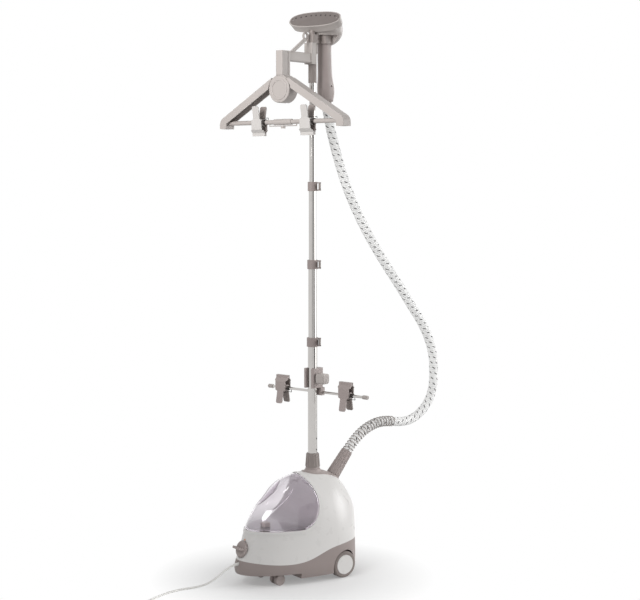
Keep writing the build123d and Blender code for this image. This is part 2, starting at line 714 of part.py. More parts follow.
def arc_radii(route):
    radii = []
    for before, corner, after in zip(route, route[1:], route[2:]):
        into = Vector(*corner) - Vector(*before)
        out = Vector(*after) - Vector(*corner)
        turn = math.radians(into.get_angle(out))
        radii.append(BEND_SHARE * min(into.length, out.length) / math.tan(turn / 2))
    return radii


def cord_tube(name, route, radii, outer, inner=0.0):
    path = FilletPolyline(*route, radius=radii)
    start = Plane(origin=path @ 0, z_dir=path % 0)
    profile = Circle(outer) - Circle(inner) if inner else Circle(outer)
    swept = sweep(start * profile, path=path)
    area = math.pi * (outer ** 2 - inner ** 2)
    ratio = swept.volume / (area * path.length)
    print(name, "length", round(path.length, 1), "volume ratio", round(ratio, 4))
    print(name, "radii", [round(radius) for radius in radii])
    return swept


def hose(name, route):
    return cord_tube(name, route, arc_radii(route), HOSE_D / 2)


def hose_guard():
    last, beyond = HOSE_LOWER_ROUTE[GUARD_POINTS - 1:GUARD_POINTS + 1]
    end = tuple((Vector(*last) + Vector(*beyond)) / 2)
    route = [*HOSE_LOWER_ROUTE[:GUARD_POINTS], end]
    radii = arc_radii(HOSE_LOWER_ROUTE)[:GUARD_POINTS - 1]
    return cord_tube("hose_guard", route, radii, HOSE_D / 2 + GUARD_WALL, HOSE_D / 2 + SWIVEL_GAP)


def mains_coil():
    spread = (COIL_ROWS - 1) * COIL_PITCH / 2 + CORD_D / 2
    height = CORD_D + (COIL_LAYERS - 1) * COIL_PITCH
    return Pos(*COIL_AT) * tube((0, 0, 0), (0, 0, height), COIL_R + spread, COIL_R - spread)


def mains_plug():
    length, width, height = PLUG_SIZE
    x, y = PLUG_AT
    body = block(x, x + length, y - width / 2, y + width / 2, 0, height)
    body = fillet(body.edges().filter_by(Axis.Z), height / 3)
    body = fillet(body.faces().sort_by(Axis.Z)[-1].edges(), height / 8)
    root = Plane(origin=(x + TANK_WALL, y, height / 2), z_dir=(-1, 0, 0))
    end = Plane(origin=(x - GLAND_LENGTH, y, height / 2 - CASE_WALL), z_dir=(-1, 0, 0))
    tail = loft([root * Circle(PLUG_TAIL_R), end * Circle(CORD_TAPER * CORD_D)])
    return body + tail


def plug_pins():
    x = PLUG_AT[0] + PLUG_SIZE[0]
    z = PLUG_SIZE[2] / 2
    pins = []
    for side in (-1, 1):
        y = PLUG_AT[1] + side * PIN_SPACING / 2
        pins.append(rod((x, y, z), (x + PIN_LENGTH, y, z), PIN_R))
    return pins


# Clips, drawn upright about a rod along X with the jaws down

def clip_outline():
    jaw_top = -CLIP_STANDOFF - CLIP_KNUCKLE_R
    neck = CLIP_STANDOFF
    right = [(CLIP_JAW_HALF, -CLIP_JAW_REACH), (CLIP_JAW_HALF, jaw_top - CLIP_PLATE),
             (CLIP_BODY_HALF, jaw_top), (CLIP_BODY_HALF, neck - CLIP_PLATE),
             (CLIP_HANDLE_HALF, neck), (CLIP_HANDLE_HALF, CLIP_HANDLE_REACH - CLIP_PLATE),
             (CLIP_HANDLE_HALF - CLIP_PLATE, CLIP_HANDLE_REACH)]
    left = [(-x, z) for x, z in reversed(right)]
    return Polyline(*right, *left, close=True)


def clip_half(front, bore):
    knuckle = -CLIP_STANDOFF - CLIP_KNUCKLE_R
    inner = [(-CLIP_JAW_GAP, -CLIP_JAW_REACH), (-CLIP_JAW_GAP, knuckle - CLIP_STANDOFF),
             (-CLIP_STANDOFF, knuckle), (-CLIP_STANDOFF, CLIP_STANDOFF),
             (-CLIP_STANDOFF - CLIP_SPLAY, CLIP_HANDLE_REACH)]
    outer = [(y - CLIP_PLATE, z) for y, z in reversed(inner)]
    plate = side_prism(Polyline(*inner, *outer, close=True), -CLIP_JAW_HALF, CLIP_JAW_HALF)
    depth = CLIP_STANDOFF + CLIP_SPLAY + CLIP_PLATE
    plate &= front_prism(clip_outline(), -2 * depth, 2 * depth)
    edge = CLIP_BODY_HALF - TREAD_GROOVE
    lanes = [(CLIP_MIDDLE + SWIVEL_GAP, edge), (-edge, -CLIP_MIDDLE - SWIVEL_GAP)]
    if not front:
        lanes = [(-CLIP_MIDDLE, CLIP_MIDDLE)]
    for x0, x1 in lanes:
        half = CLIP_KNUCKLE_R / 2
        plate += block(x0, x1, -CLIP_STANDOFF - CLIP_PLATE / 2, 0, -half, half)
        plate += rod((x0, 0, 0), (x1, 0, 0), CLIP_KNUCKLE_R)
    plate -= rod((-CLIP_JAW_HALF, 0, 0), (CLIP_JAW_HALF, 0, 0), bore)
    return plate if front else mirror(plate, about=Plane.XZ)


def upper_clip(front, x):
    bore = HANG_BAR_R + (RUN_CLEARANCE if front else 0)
    return yawed(Pos(x, -HANGER_REACH, HANG_BAR_Z) * clip_half(front, bore))


def lower_clip(front, x):
    bore = BAR_R + (RUN_CLEARANCE if front else 0)
    turned = Rot(0, 180, 0) * clip_half(front, bore)
    return yawed(Pos(x, BAR_Y, BAR_Z) * turned)


# Trouser bar

def bar_bracket():
    low, high = CLAMP_Z
    bore = TUBE_R[0] + SWIVEL_GAP
    body = block(-CLAMP_HALF, CLAMP_HALF, -CLAMP_HALF, CLAMP_BACK, low, high)
    body = fillet(body.edges().filter_by(Axis.Z), CLAMP_WALL)
    body -= rod((0, 0, low), (0, 0, high), bore)
    body -= block(-CLAMP_MOUTH, CLAMP_MOUTH, -2 * CLAMP_HALF, 0, low, high)
    body -= rod((0, 0, (low + high) / 2), (CLAMP_HALF, 0, (low + high) / 2), SCREW_R + RUN_CLEARANCE)
    half = BAR_R + CLAMP_WALL
    socket = block(-CLAMP_WALL, CLAMP_HALF + CLAMP_WALL, BAR_Y - half, CLAMP_BACK, BAR_Z - half, low)
    socket = fillet(socket.edges().filter_by(Axis.X), TUBE_WALL)
    body += socket
    body -= rod((0, 0, BAR_Z - 2 * half), (0, 0, high), bore)
    body -= rod((-CLAMP_HALF, BAR_Y, BAR_Z), (2 * CLAMP_HALF, BAR_Y, BAR_Z), BAR_R)
    return yawed(body)


def clamp_knob():
    middle = sum(CLAMP_Z) / 2
    start = CLAMP_HALF + KNOB_GAP
    knob = Box(KNOB_LENGTH, KNOB_SIZE, KNOB_SIZE, align=(Align.MIN, Align.CENTER, Align.CENTER))
    knob = fillet(knob.edges().filter_by(Axis.X), KNOB_SIZE / 4)
    knob = fillet(knob.faces().sort_by(Axis.X)[-1].edges(), KNOB_SIZE / 10)
    screw = rod((TUBE_R[0] + SWIVEL_GAP, 0, middle), (start + KNOB_GAP, 0, middle), SCREW_R)
    return yawed(Pos(start, 0, middle) * knob + screw)


def trouser_rod():
    return yawed(rod((-BAR_HALF, BAR_Y, BAR_Z), (BAR_HALF, BAR_Y, BAR_Z), BAR_R))


def rod_caps():
    caps = []
    for side in (-1, 1):
        inner = (side * (BAR_HALF - BAR_CAP_LENGTH / 2), BAR_Y, BAR_Z)
        outer = (side * (BAR_HALF + BAR_CAP_LENGTH / 2), BAR_Y, BAR_Z)
        cap = rod(inner, outer, BAR_CAP_R)
        cap = fillet(cap.edges().filter_by(GeomType.CIRCLE), BAR_CAP_R / 4)
        cap -= rod(inner, (side * BAR_HALF, BAR_Y, BAR_Z), BAR_R)
        caps.append(yawed(cap))
    return caps


# Hanger

def hanger_bracket():
    low, high = SLEEVE_Z
    sleeve = Pos(0, 0, low) * ribbed_cone(high - low, SLEEVE_OUTER, SLEEVE_OUTER, NUT_RIBS)
    back = -HANGER_REACH + COLUMN_DEPTH / 2
    front = back - COLUMN_DEPTH
    column = block(-COLUMN_HALF, COLUMN_HALF, front, back, HUB_Z + HUB_R - 2 * ARM_WALL, COLUMN_TOP)
    column = fillet(column.edges().filter_by(Axis.Z), ARM_WALL)
    for side in (-1, 1):
        slot_y = -HANGER_REACH + COLUMN_DEPTH / 6
        column -= block(side * COLUMN_HALF - TREAD_GROOVE, side * COLUMN_HALF + TREAD_GROOVE,
                        slot_y - ARM_WALL, slot_y + ARM_WALL, HUB_Z, COLUMN_TOP - ARM_WALL)
    beam = block(-ARM_HALF, ARM_HALF, back - ARM_WALL, 0, ARM_BOTTOM, COLUMN_TOP)
    beam = fillet(beam.edges().filter_by(Axis.Y), ARM_WALL)
    plate_half = ARM_HALF + ARM_WALL
    plate_front = -SLEEVE_OUTER - 2 * ARM_WALL
    plate = block(-plate_half, plate_half, plate_front, 0, ARM_BOTTOM - ARM_WALL, high)
    strut_foot = Vector(0, back + COLUMN_DEPTH / 2, COLUMN_TOP - ARM_WALL)
    strut_head = Vector(0, RING_Y, RING_Z)
    rise = strut_head - strut_foot
    strut = Plane(origin=strut_foot, x_dir=(1, 0, 0), z_dir=rise) * Box(
        2 * RING_WIRE, 3 * RING_WIRE, rise.length, align=(Align.CENTER, Align.CENTER, Align.MIN))
    ring = Pos(0, RING_Y, RING_Z + RING_R) * Rot(0, 90, 0) * Torus(RING_R, RING_WIRE)
    bracket = column + beam + plate + sleeve + strut + ring
    bore = TUBE_R[3] + SWIVEL_GAP
    bracket -= rod((0, 0, ARM_BOTTOM - 2 * ARM_WALL), (0, 0, high + ARM_WALL), bore)
    bracket -= rod((0, 0, 0), (0, 0, low), STOP_OUTER + SWIVEL_GAP)
    bracket -= rod((0, -2 * HANGER_REACH, HUB_Z), (0, 0, HUB_Z), HUB_R + SHOULDER_WALL)
    bracket -= rod((0, 0, high), (0, 0, 2 * high), SLEEVE_OUTER + 2 * RIB_R)
    return yawed(bracket)


def hanger_hub():
    front, back = -HANGER_REACH - HUB_DEPTH / 2, -HANGER_REACH + HUB_DEPTH / 2
    hub = rod((0, front, HUB_Z), (0, back, HUB_Z), HUB_R)
    hub = fillet(hub.faces().sort_by(Axis.Y)[0].edges(), ARM_WALL)
    notch = rod((0, front, HUB_Z - HUB_R - ARM_WALL), (0, back, HUB_Z - HUB_R - ARM_WALL), 2 * ARM_WALL)
    hub -= notch
    outer, inner = HUB_R + SHOULDER_WALL, HUB_R - TUBE_WALL
    shoulder = tube((0, front + ARM_WALL, HUB_Z), (0, back, HUB_Z), outer, inner)
    shoulder &= block(-2 * HUB_R, 2 * HUB_R, front, back, HUB_Z + HUB_R / 3, HUB_Z + 2 * HUB_R)
    return yawed(hub + shoulder)


def arm_outline(inset, open_below):
    slope = math.tan(math.radians(ARM_SLOPE))
    outer_x = TIP_X - inset
    inner_x = TIP_X - TIP_WIDTH + inset
    lift = (ARM_WALL if inset else 0) / math.cos(math.radians(ARM_SLOPE))
    top_start = ARM_TOP_Z - lift
    top_end = top_start - (outer_x - ARM_START) * slope
    drop = ARM_HEIGHT / math.cos(math.radians(ARM_SLOPE)) + (2 * ARM_WALL if open_below else 0)
    tip_z = TIP_Z - (ARM_HEIGHT if open_below else 0)
    under_start = ARM_TOP_Z - drop
    under_end = under_start - (inner_x - ARM_START) * slope
    round_r = TIP_ROUND - inset
    points = [(ARM_START, top_start), (outer_x, top_end), (outer_x, tip_z), (inner_x, tip_z),
              (inner_x, under_end), (ARM_START, under_start)]
    edges = Polyline(*points, close=True)
    face = make_face(edges)
    corner = face.vertices().sort_by_distance((outer_x, top_end))[0]
    return fillet(corner, round_r)


def hanger_arm():
    half = ARM_DEPTH / 2
    lane = Plane.XZ.offset(HANGER_REACH - half)
    arm = extrude(lane * arm_outline(0, False), ARM_DEPTH)
    arm = fillet(arm.edges().filter_by(GeomType.CIRCLE), ARM_WALL / 2)
    inner = Plane.XZ.offset(HANGER_REACH - half + ARM_WALL)
    arm -= extrude(inner * arm_outline(ARM_WALL, True), ARM_DEPTH - 2 * ARM_WALL)
    arm -= rod((0, -2 * HANGER_REACH, HUB_Z), (0, 0, HUB_Z), HUB_R + SHOULDER_WALL)
    middle = TIP_X - TIP_WIDTH / 2
    arm += rod((middle, -HANGER_REACH - half + TUBE_WALL, HANG_BAR_Z),
               (middle, -HANGER_REACH + half - TUBE_WALL, HANG_BAR_Z), HANG_BAR_R + ARM_WALL)
    arm -= rod((0, -HANGER_REACH, HANG_BAR_Z), (middle, -HANGER_REACH, HANG_BAR_Z), HANG_BAR_R)
    return arm


def hanger_arms():
    right = hanger_arm()
    return [yawed(right), yawed(mirrored(right))]


def hanger_bar():
    end = TIP_X - TIP_WIDTH / 2
    at = (-HANGER_REACH, HANG_BAR_Z)
    bar = rod((-end, *at), (end, *at), HANG_BAR_R)
    sleeve = rod((-SLEEVE_HALF, *at), (SLEEVE_HALF, *at), SLEEVE_R)
    bar += fillet(sleeve.edges().filter_by(GeomType.CIRCLE), TUBE_WALL)
    low = HANG_BAR_Z - LOOP_DROP
    bar += rod((-LOOP_HALF, -HANGER_REACH, low), (LOOP_HALF, -HANGER_REACH, low), LOOP_R)
    for side in (-1, 1):
        bar += rod((side * LOOP_HALF, -HANGER_REACH, low - LOOP_R), (side * LOOP_HALF, *at), LOOP_R)
    bar += rod((0, -HANGER_REACH, low - 2 * LOOP_DROP / 3), (0, -HANGER_REACH, low), HANG_BAR_R)
    return yawed(bar)


# Pole top and handset

def handle_reach(height):
    return max(level[1] for level in HANDLE_LEVELS if level[0] >= height)


def cradle():
    low = SLEEVE_Z[1] + SWIVEL_GAP
    body = block(-CRADLE_HALF, CRADLE_HALF, CRADLE_FRONT, -CRADLE_FRONT, low, CRADLE_TOP)
    body = fillet(body.edges().filter_by(Axis.Z), CRADLE_HALF / 3)
    half = handle_reach(HANDLE_LEVELS[3][0] + 1) + FORK_CLEARANCE
    wall = half + FORK_WALL
    _, _, depth, offset = HANDLE_LEVELS[-1]
    fork_front = offset - depth - FORK_CLEARANCE - FORK_WALL
    fork = block(-wall, wall, fork_front, FORK_END, low, CRADLE_TOP)
    fork = fillet(fork.edges().filter_by(Axis.Z), FORK_WALL)
    fork -= block(-half, half, offset, 2 * FORK_END, low, CRADLE_TOP)
    gap = oval(half, depth + FORK_CLEARANCE, HANDLE_POWER)
    fork -= loft([Pos(0, offset, low) * gap, Pos(0, offset, CRADLE_TOP) * gap])
    bridge = block(-CRADLE_HALF / 2, CRADLE_HALF / 2, 0, fork_front + FORK_WALL / 2, low, CRADLE_TOP)
    nub = rod((0, 0, CRADLE_TOP), (0, 0, NUB_TOP), NUB_R)
    nub = fillet(nub.faces().sort_by(Axis.Z)[-1].edges(), NUB_R / 4)
    holder = body + fork + bridge + nub
    holder -= rod((0, 0, low), (0, 0, POLE_TOP), TUBE_R[3])
    stop = rod((0, 0, STOP_Z), (0, 0, SLEEVE_Z[0] - SWIVEL_GAP), STOP_OUTER)
    stop -= rod((0, 0, STOP_Z), (0, 0, SLEEVE_Z[0]), TUBE_R[3])
    return [yawed(holder), yawed(stop)]


def handle_form(grow):
    sections = []
    for z, half, depth, offset in HANDLE_LEVELS:
        sections.append(Pos(0, offset, z) * oval(half + grow, depth + grow, HANDLE_POWER))
    return loft(sections)


def handset_handle():
    handle = handle_form(0)
    foot = HANDLE_LEVELS[0]
    handle -= rod((0, foot[3], 0), (0, foot[3], HANDLE_BORE_TOP), HANDLE_BORE_R)
    for z in HANDLE_SCREW_Z:
        offset = HANDLE_LEVELS[2][3]
        start = (HANDLE_BORE_R + 2 * TANK_WALL / 3, offset, z)
        handle -= rod(start, (2 * HANDLE_LEVELS[2][1], offset, z), HANDLE_SCREW_R)
    top = foot[0] + NUT_LIP
    for step in range(CUFF_FLUTES):
        angle = 2 * math.pi * (step + 0.5) / CUFF_FLUTES
        spot = (foot[1] * math.cos(angle), foot[3] + foot[2] * math.sin(angle))
        handle -= rod((*spot, 0), (*spot, top), RIB_R)
    return yawed(handle)


def head_turned(shape):
    offset = HANDLE_LEVELS[-1][3]
    return Pos(0, offset) * Rot(0, 0, HEAD_TURN) * Pos(0, -offset) * shape


def head_plane(distance):
    tilt = math.radians(HEAD_TILT)
    normal = Vector(0, -math.cos(tilt), math.sin(tilt))
    return Plane(origin=Vector(*HEAD_CENTRE) + normal * distance, x_dir=(1, 0, 0), z_dir=normal)


def head_oval(inset):
    half_x, half_y = HEAD_HALF
    return oval(half_x - inset, half_y - inset, HEAD_CORNER)


def head_form():
    rim = head_plane(0) * head_oval(0)
    band = head_plane(-BEZEL_DEPTH) * head_oval(TANK_WALL)
    shell = head_plane(-SHELL_DEPTH) * head_oval(SHELL_INSET)
    return loft([rim, band, shell], ruled=True)


def head_cowl():
    reach = 2 * HEAD_HALF[0]
    behind = head_plane(-BEZEL_DEPTH) * Pos(0, 0, -reach / 2) * Box(reach, reach, reach)
    return (Pos(*COWL_CENTRE) * scale(Sphere(1), by=COWL_AXES)) & behind


def handset_head():
    top_z = HANDLE_LEVELS[-1][0]
    reach = 2 * HEAD_HALF[0]
    head = head_form() - block(-reach, reach, -reach, reach, 0, top_z)
    seat = head_plane(-PLATE_THICK) * head_oval(PLATE_INSET)
    head -= extrude(seat, 2 * PLATE_THICK, dir=tuple(head_plane(0).z_dir))
    head = head_turned(head + head_cowl())
    head -= block(-reach, reach, -reach, FORK_END + FORK_CLEARANCE, 0, top_z)
    head -= handle_form(RUN_CLEARANCE)
    head -= rod((0, 0, 0), (0, 0, NUB_TOP + FORK_CLEARANCE), NUB_R + FORK_CLEARANCE)
    return yawed(head)


def steam_plate():
    blank = head_plane(-PLATE_THICK) * head_oval(PLATE_INSET + RUN_CLEARANCE)
    plate = extrude(blank, PLATE_THICK + RIB_R, dir=tuple(head_plane(0).z_dir))
    for step in range(STEAM_HOLES):
        share = 2 * step / (STEAM_HOLES - 1) - 1
        spot = Pos(share * STEAM_ARC, STEAM_HOLE_RISE * (1 - share * share / 2))
        plate -= head_plane(0) * spot * Cylinder(STEAM_HOLE_R, 4 * PLATE_THICK)
    for side in (-1, 1):
        spot = Pos(side * (HEAD_HALF[0] - 3 * PLATE_INSET), 0)
        plate -= head_plane(PLATE_THICK) * spot * Cylinder(2 * STEAM_HOLE_R, 2 * PLATE_THICK)
    return yawed(head_turned(plate))


# Every piece under its own name

def make_pieces():
    envelope = casing(0)
    cavity = casing(-CASE_WALL)
    split = below_split()
    left_wheel, left_cap = mirrored(rear_wheel()), mirrored(hubcap())
    fork, pair = caster_fork(), caster_wheels()
    left_spot, right_spot = Pos(-CASTER_X, CASTER_Y, 0), Pos(CASTER_X, CASTER_Y, 0)
    pieces = {
        "base_tray": base_tray(envelope, cavity, split),
        "upper_housing": upper_housing(envelope, cavity, split),
        "deck_plate": deck_plate(envelope),
        "boiler": boiler(),
        "heating_element": heating_element(),
        "boiler_pipes": boiler_pipes(),
        "power_switch": power_switch(),
        "indicator_lens": indicator_lens(envelope),
        "cord_gland": cord_gland(),
        "rear_axle": rod((-WHEEL_FACE_X + 2 * HUBCAP_DEPTH + CASTER_GAP, WHEEL_Y, WHEEL_R),
                         (WHEEL_FACE_X - 2 * HUBCAP_DEPTH - CASTER_GAP, WHEEL_Y, WHEEL_R), AXLE_R),
        "housing_screws": housing_screws(),
        "rear_wheel_left": left_wheel,
        "rear_wheel_right": rear_wheel(),
        "hubcap_left": left_cap,
        "hubcap_right": hubcap(),
        "caster_fork_left": left_spot * fork,
        "caster_fork_right": right_spot * fork,
        "caster_wheels_left": [left_spot * wheel for wheel in pair],
        "caster_wheels_right": [right_spot * wheel for wheel in pair],
        "dial": dial(),
        "tank_shell": tank_shell(envelope),
        "tank_valve": tank_valve(),
        "pole_nut": pole_nut(),
        "hose_nut": hose_nut(),
        "hose_outlet": hose_outlet(),
        "bar_bracket": bar_bracket(),
        "clamp_knob": clamp_knob(),
        "trouser_rod": trouser_rod(),
        "rod_caps": rod_caps(),
        "lower_clip_backs": [lower_clip(False, x) for x in LOWER_CLIP_X],
        "lower_clip_jaw_left": lower_clip(True, LOWER_CLIP_X[0]),
        "lower_clip_jaw_right": lower_clip(True, LOWER_CLIP_X[1]),
        "hanger_bracket": hanger_bracket(),
        "hanger_hub": hanger_hub(),
        "hanger_arms": hanger_arms(),
        "hanger_bar": hanger_bar(),
        "upper_clip_backs": [upper_clip(False, x) for x in UPPER_CLIP_X],
        "upper_clip_jaw_left": upper_clip(True, UPPER_CLIP_X[0]),
        "upper_clip_jaw_right": upper_clip(True, UPPER_CLIP_X[1]),
        "cradle": cradle(),
        "handset_handle": handset_handle(),
        "handset_head": handset_head(),
        "steam_plate": steam_plate(),
        "mains_plug": mains_plug(),
        "plug_pins": plug_pins(),
        "mains_coil": mains_coil(),
        "mains_cord": cord_tube("mains_cord", MAINS_ROUTE, arc_radii(MAINS_ROUTE), CORD_D / 2),
        "steam_hose_lower": hose("steam_hose_lower", HOSE_LOWER_ROUTE),
        "steam_hose_upper": hose("steam_hose_upper", HOSE_UPPER_ROUTE),
        "hose_guard": hose_guard(),
    }
    for index in range(len(TUBE_R)):
        pieces[f"tube_{index + 1}"] = stage_tube(index)
    for index in range(len(COLLAR_Z)):
        pieces[f"lock_collar_{index + 1}"] = lock_collar(index)
        pieces[f"lock_lever_{index + 1}"] = lock_lever(index)
    return pieces


def main():
    os.makedirs("parts", exist_ok=True)
    for name, piece in make_pieces().items():
        shape = Compound(children=piece) if isinstance(piece, list) else piece
        shape.label = name
        export_step(shape, f"parts/{name}.step")


main()
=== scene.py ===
"""Looks for a rolling garment steamer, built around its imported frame.

Metres, +Z up, front towards -Y, origin on the floor under the pole.
"""

import json
import math

import bmesh
import bpy
from bpy.props import FloatProperty, FloatVectorProperty, IntProperty, PointerProperty
from bpy.types import Operator, Panel, PropertyGroup
from mathutils import Matrix, Vector


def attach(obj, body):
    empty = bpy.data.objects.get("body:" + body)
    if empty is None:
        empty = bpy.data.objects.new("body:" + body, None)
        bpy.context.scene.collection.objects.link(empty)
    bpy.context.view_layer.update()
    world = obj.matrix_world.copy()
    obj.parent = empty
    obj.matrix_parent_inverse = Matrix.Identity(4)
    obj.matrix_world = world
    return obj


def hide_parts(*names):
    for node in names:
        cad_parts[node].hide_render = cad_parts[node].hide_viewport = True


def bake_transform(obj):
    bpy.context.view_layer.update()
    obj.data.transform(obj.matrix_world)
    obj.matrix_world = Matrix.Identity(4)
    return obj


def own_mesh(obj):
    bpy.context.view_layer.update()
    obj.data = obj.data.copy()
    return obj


bl_info = {
    "name": "Garment Steamer",
    "version": (1, 0, 0),
    "blender": (4, 5, 0),
    "location": "View3D > Sidebar > Steamer",
    "description": "Finishes, hose, lead and small trim of a rolling garment steamer",
    "category": "Object",
}

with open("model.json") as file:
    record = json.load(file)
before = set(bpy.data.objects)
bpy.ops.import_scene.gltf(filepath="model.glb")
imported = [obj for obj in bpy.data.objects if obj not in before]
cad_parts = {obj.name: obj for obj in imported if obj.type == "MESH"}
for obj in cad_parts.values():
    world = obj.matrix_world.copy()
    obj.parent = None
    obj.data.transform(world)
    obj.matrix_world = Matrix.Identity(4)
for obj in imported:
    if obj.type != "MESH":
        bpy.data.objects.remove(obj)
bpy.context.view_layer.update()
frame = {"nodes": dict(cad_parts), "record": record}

# Routes of the hose and the lead, as in the part's source
HOSE_LOWER_ROUTE = [
    (0.0, 0.12638, 0.35139), (0.0, 0.14904, 0.37937), (0.0, 0.197, 0.415), (0.0, 0.258, 0.432),
    (0.0, 0.342, 0.4165), (0.0, 0.3954, 0.430), (0.0, 0.438, 0.465), (0.0, 0.461, 0.512),
    (0.0, 0.463, 0.566), (0.0, 0.4623, 0.580),
]
HOSE_UPPER_ROUTE = [
    (0.0, 0.4623, 0.580), (0.0, 0.4605, 0.616), (-0.002, 0.448, 0.664), (-0.0034, 0.418, 0.722),
    (-0.005, 0.374, 0.780), (-0.006, 0.332, 0.838), (-0.008, 0.272, 0.915), (-0.0095, 0.217, 0.992),
    (-0.0112, 0.172, 1.066), (-0.0128, 0.135, 1.140), (-0.0144, 0.108, 1.210),
    (-0.016, 0.085, 1.285), (-0.017, 0.069, 1.345), (-0.0171, 0.0605, 1.394),
    (-0.0171, 0.0596, 1.452),
]
LEAD_ROUTE = [
    (0.0, -0.276, 0.064), (0.0, -0.29904, 0.05728), (-0.011, -0.322, 0.035),
    (-0.031, -0.346, 0.012), (-0.050, -0.378, 0.0032), (-0.058, -0.418, 0.003),
    (-0.051, -0.464, 0.003), (-0.030, -0.514, 0.003), (-0.006, -0.563, 0.003),
    (0.001, -0.610, 0.003),
]

# Put-away coil of the lead, wound inwards below and outwards above
COIL_CENTRE = (0.036, -0.668)
COIL_ROWS = (0.0395, 0.0332, 0.0269)
COIL_LAYERS = (0.0047, 0.0110)
COIL_START = math.radians(157.5)
COIL_STEPS = 16
COIL_SHIFT = 4
COIL_RUN_OUT = 6
PLUG_TAIL = [(0.0480, -0.7073, 0.0100), (0.0600, -0.7070, 0.0076), (0.0760, -0.7070, 0.0078)]
TIE_ANGLE = math.radians(60)
TIE_SLACK = 0.0004
TIE_CORNER = 0.0028
TIE_CORNER_STEPS = 6

# Turn of the hanger, trouser bar and handset about the pole, and places on them
TOP_YAW = math.radians(16)
UPPER_CLIPS = {"left": (-0.090, -0.131, 1.331), "right": (0.090, -0.131, 1.331)}
LOWER_CLIPS = {"left": (-0.133, 0.021, 0.541), "right": (0.109, 0.021, 0.541)}
HUB_FACE = (0.0, -0.1495, 1.422)
HANDLE_FOOT = (0.0, 0.062, 1.396)
HANDLE_SCREWS = [(0.0178, 0.061, 1.535), (0.0178, 0.061, 1.440)]
HEAD_CENTRE = (0.0, -0.003, 1.6288)
HEAD_TILT = math.radians(40)
HEAD_TURN = math.radians(10)
HEAD_PIVOT_Y = 0.056
PLATE_SCREW_X = 0.0715
STEAM_HOLES = 9
STEAM_ARC = 0.064
STEAM_RISE = 0.014
STEAM_FLOOR = -0.003

# Turned trim: radius and height of each corner of the profile
HUB_RING = [
    (0.0245, -0.0002), (0.0245, 0.0010), (0.0255, 0.0016),
    (0.0285, 0.0016), (0.0297, 0.0010), (0.0297, -0.0002),
]
HOSE_BUSH = [
    (0.0145, 0.004), (0.0162, 0.004), (0.0168, 0.0),
    (0.0168, -0.0035), (0.0158, -0.006), (0.0145, -0.006),
]
HOLE_LINER = [
    (0.0, 0.0001), (0.00145, 0.0001), (0.00145, 0.0042), (0.0024, 0.0043), (0.0024, 0.0047),
    (0.0018, 0.0050), (0.0012, 0.0046), (0.0009, 0.0009), (0.0, 0.0006),
]
SCREW_HEIGHT = 0.0011
HANDLE_SCREW_RADIUS = 0.0029
PLATE_SCREW_RADIUS = 0.0027

# Clip springs: the coil along and around its rod, and the two legs
SPRING_COIL = (0.0198, 0.0264)
SPRING_RADIUS = {"upper": 0.0082, "lower": 0.0058}
SPRING_TURNS = 3.5
SPRING_STEPS = 84
SPRING_LEG = 0.0097
SPRING_LEG_END = 0.008
SPRING_CORNER = (0.001, 0.0006, 0.94)

# Moulded finishes: colour, roughness, cloudiness, edge wear, dust, coat, sRGB tone of rubbed edges
MOULDED = {
    "white_plastic": ("white", 0.30, 0.012, 0.25, 0.04, 0.05, (240, 238, 235)),
    "grey_plastic": ("grey", 0.44, 0.04, 0.35, 0.12, 0.0, (176, 167, 163)),
    "light_grey_plastic": ("light_grey", 0.42, 0.03, 0.35, 0.10, 0.0, (212, 208, 205)),
    "tray_plastic": ("tray", 0.44, 0.04, 0.35, 0.12, 0.0, (168, 159, 155)),
    "plate_plastic": ("plate", 0.46, 0.04, 0.30, 0.05, 0.0, (140, 131, 128)),
    # The steam holes' eyelet finish below is painted shade, standing for the darkness inside the holes
    "vent_plastic": ("hole_shade", 0.60, 0.05, 0.20, 0.05, 0.0, (80, 76, 74)),
    "pale_grey_plastic": ("pale_grey", 0.42, 0.03, 0.35, 0.10, 0.0, (240, 238, 235)),
    "dark_plastic": ("dark", 0.48, 0.06, 0.40, 0.12, 0.0, (132, 124, 120)),
    "tyre_grey": ("tyre", 0.62, 0.06, 0.45, 0.20, 0.0, (160, 152, 148)),
    "white_cord": ("lead", 0.46, 0.02, 0.10, 0.10, 0.0, (240, 238, 235)),
}

# Metal finishes: colour, roughness, scales of the scratches along X, Y and Z, strength of the scratches
METALS = {
    "chrome_tube": ("chrome", 0.09, (900.0, 900.0, 6.0), 0.25),
    "steel": ("steel", 0.28, (40.0, 900.0, 900.0), 0.6),
    "spring_steel": ("spring", 0.34, (300.0, 300.0, 300.0), 0.5),
    "boiler_alloy": ("alloy", 0.46, (300.0, 300.0, 300.0), 0.8),
    "pin_metal": ("pin", 0.22, (40.0, 900.0, 900.0), 0.5),
}

# Nodes whose finish is paler or darker than the rest of their slot
FINISH_CHANGES = {
    "upper_clip_jaw_left": "pale_grey_plastic",
    "upper_clip_jaw_right": "pale_grey_plastic",
    "base_tray": "tray_plastic",
    "cradle": "dark_plastic",
    "steam_plate": "plate_plastic",
    "pole_nut": "dark_plastic",
    # The lock collars' tray tone is painted shade, darker than their grey
    "lock_collar_1": "tray_plastic",
    "lock_collar_2": "tray_plastic",
    "lock_collar_3": "tray_plastic",
}

# Dust, the tank's darkening towards its bottom by height, and the depth past which light in the tank's
# walls goes straight on
DUST_TONE = (214, 210, 204)
TANK_DUST_TONE = (236, 234, 236)
TANK_LOW_DARKENING = (0.158, 0.200, 0.70, 1.0)
TRAPPED_DEPTH = 3.5
CLEAR_TINT = (0.88, 0.86, 0.88, 1.0)

# Weave of the hose: tracer columns around it, their shift per row, threads around, picks per rib
FLECK_COLUMNS = 4.63
FLECK_SHIFT = 0.37
SLEEVE_THREADS = 40
PICKS_PER_RIB = 4
# Painted shade in the valleys between the hose's ribs and threads, as an sRGB tone
VALLEY_SHADE_TONE = (176, 175, 174)

# Shape of the hose's ribs, and of the guard's wire with its closed end turns
HOSE_RIPPLE = 0.0004
RINGS_PER_RIB = 5
GUARD_SPACING = 0.0006
GUARD_SEAT = 0.42
GUARD_CLOSED_TURNS = 1.6

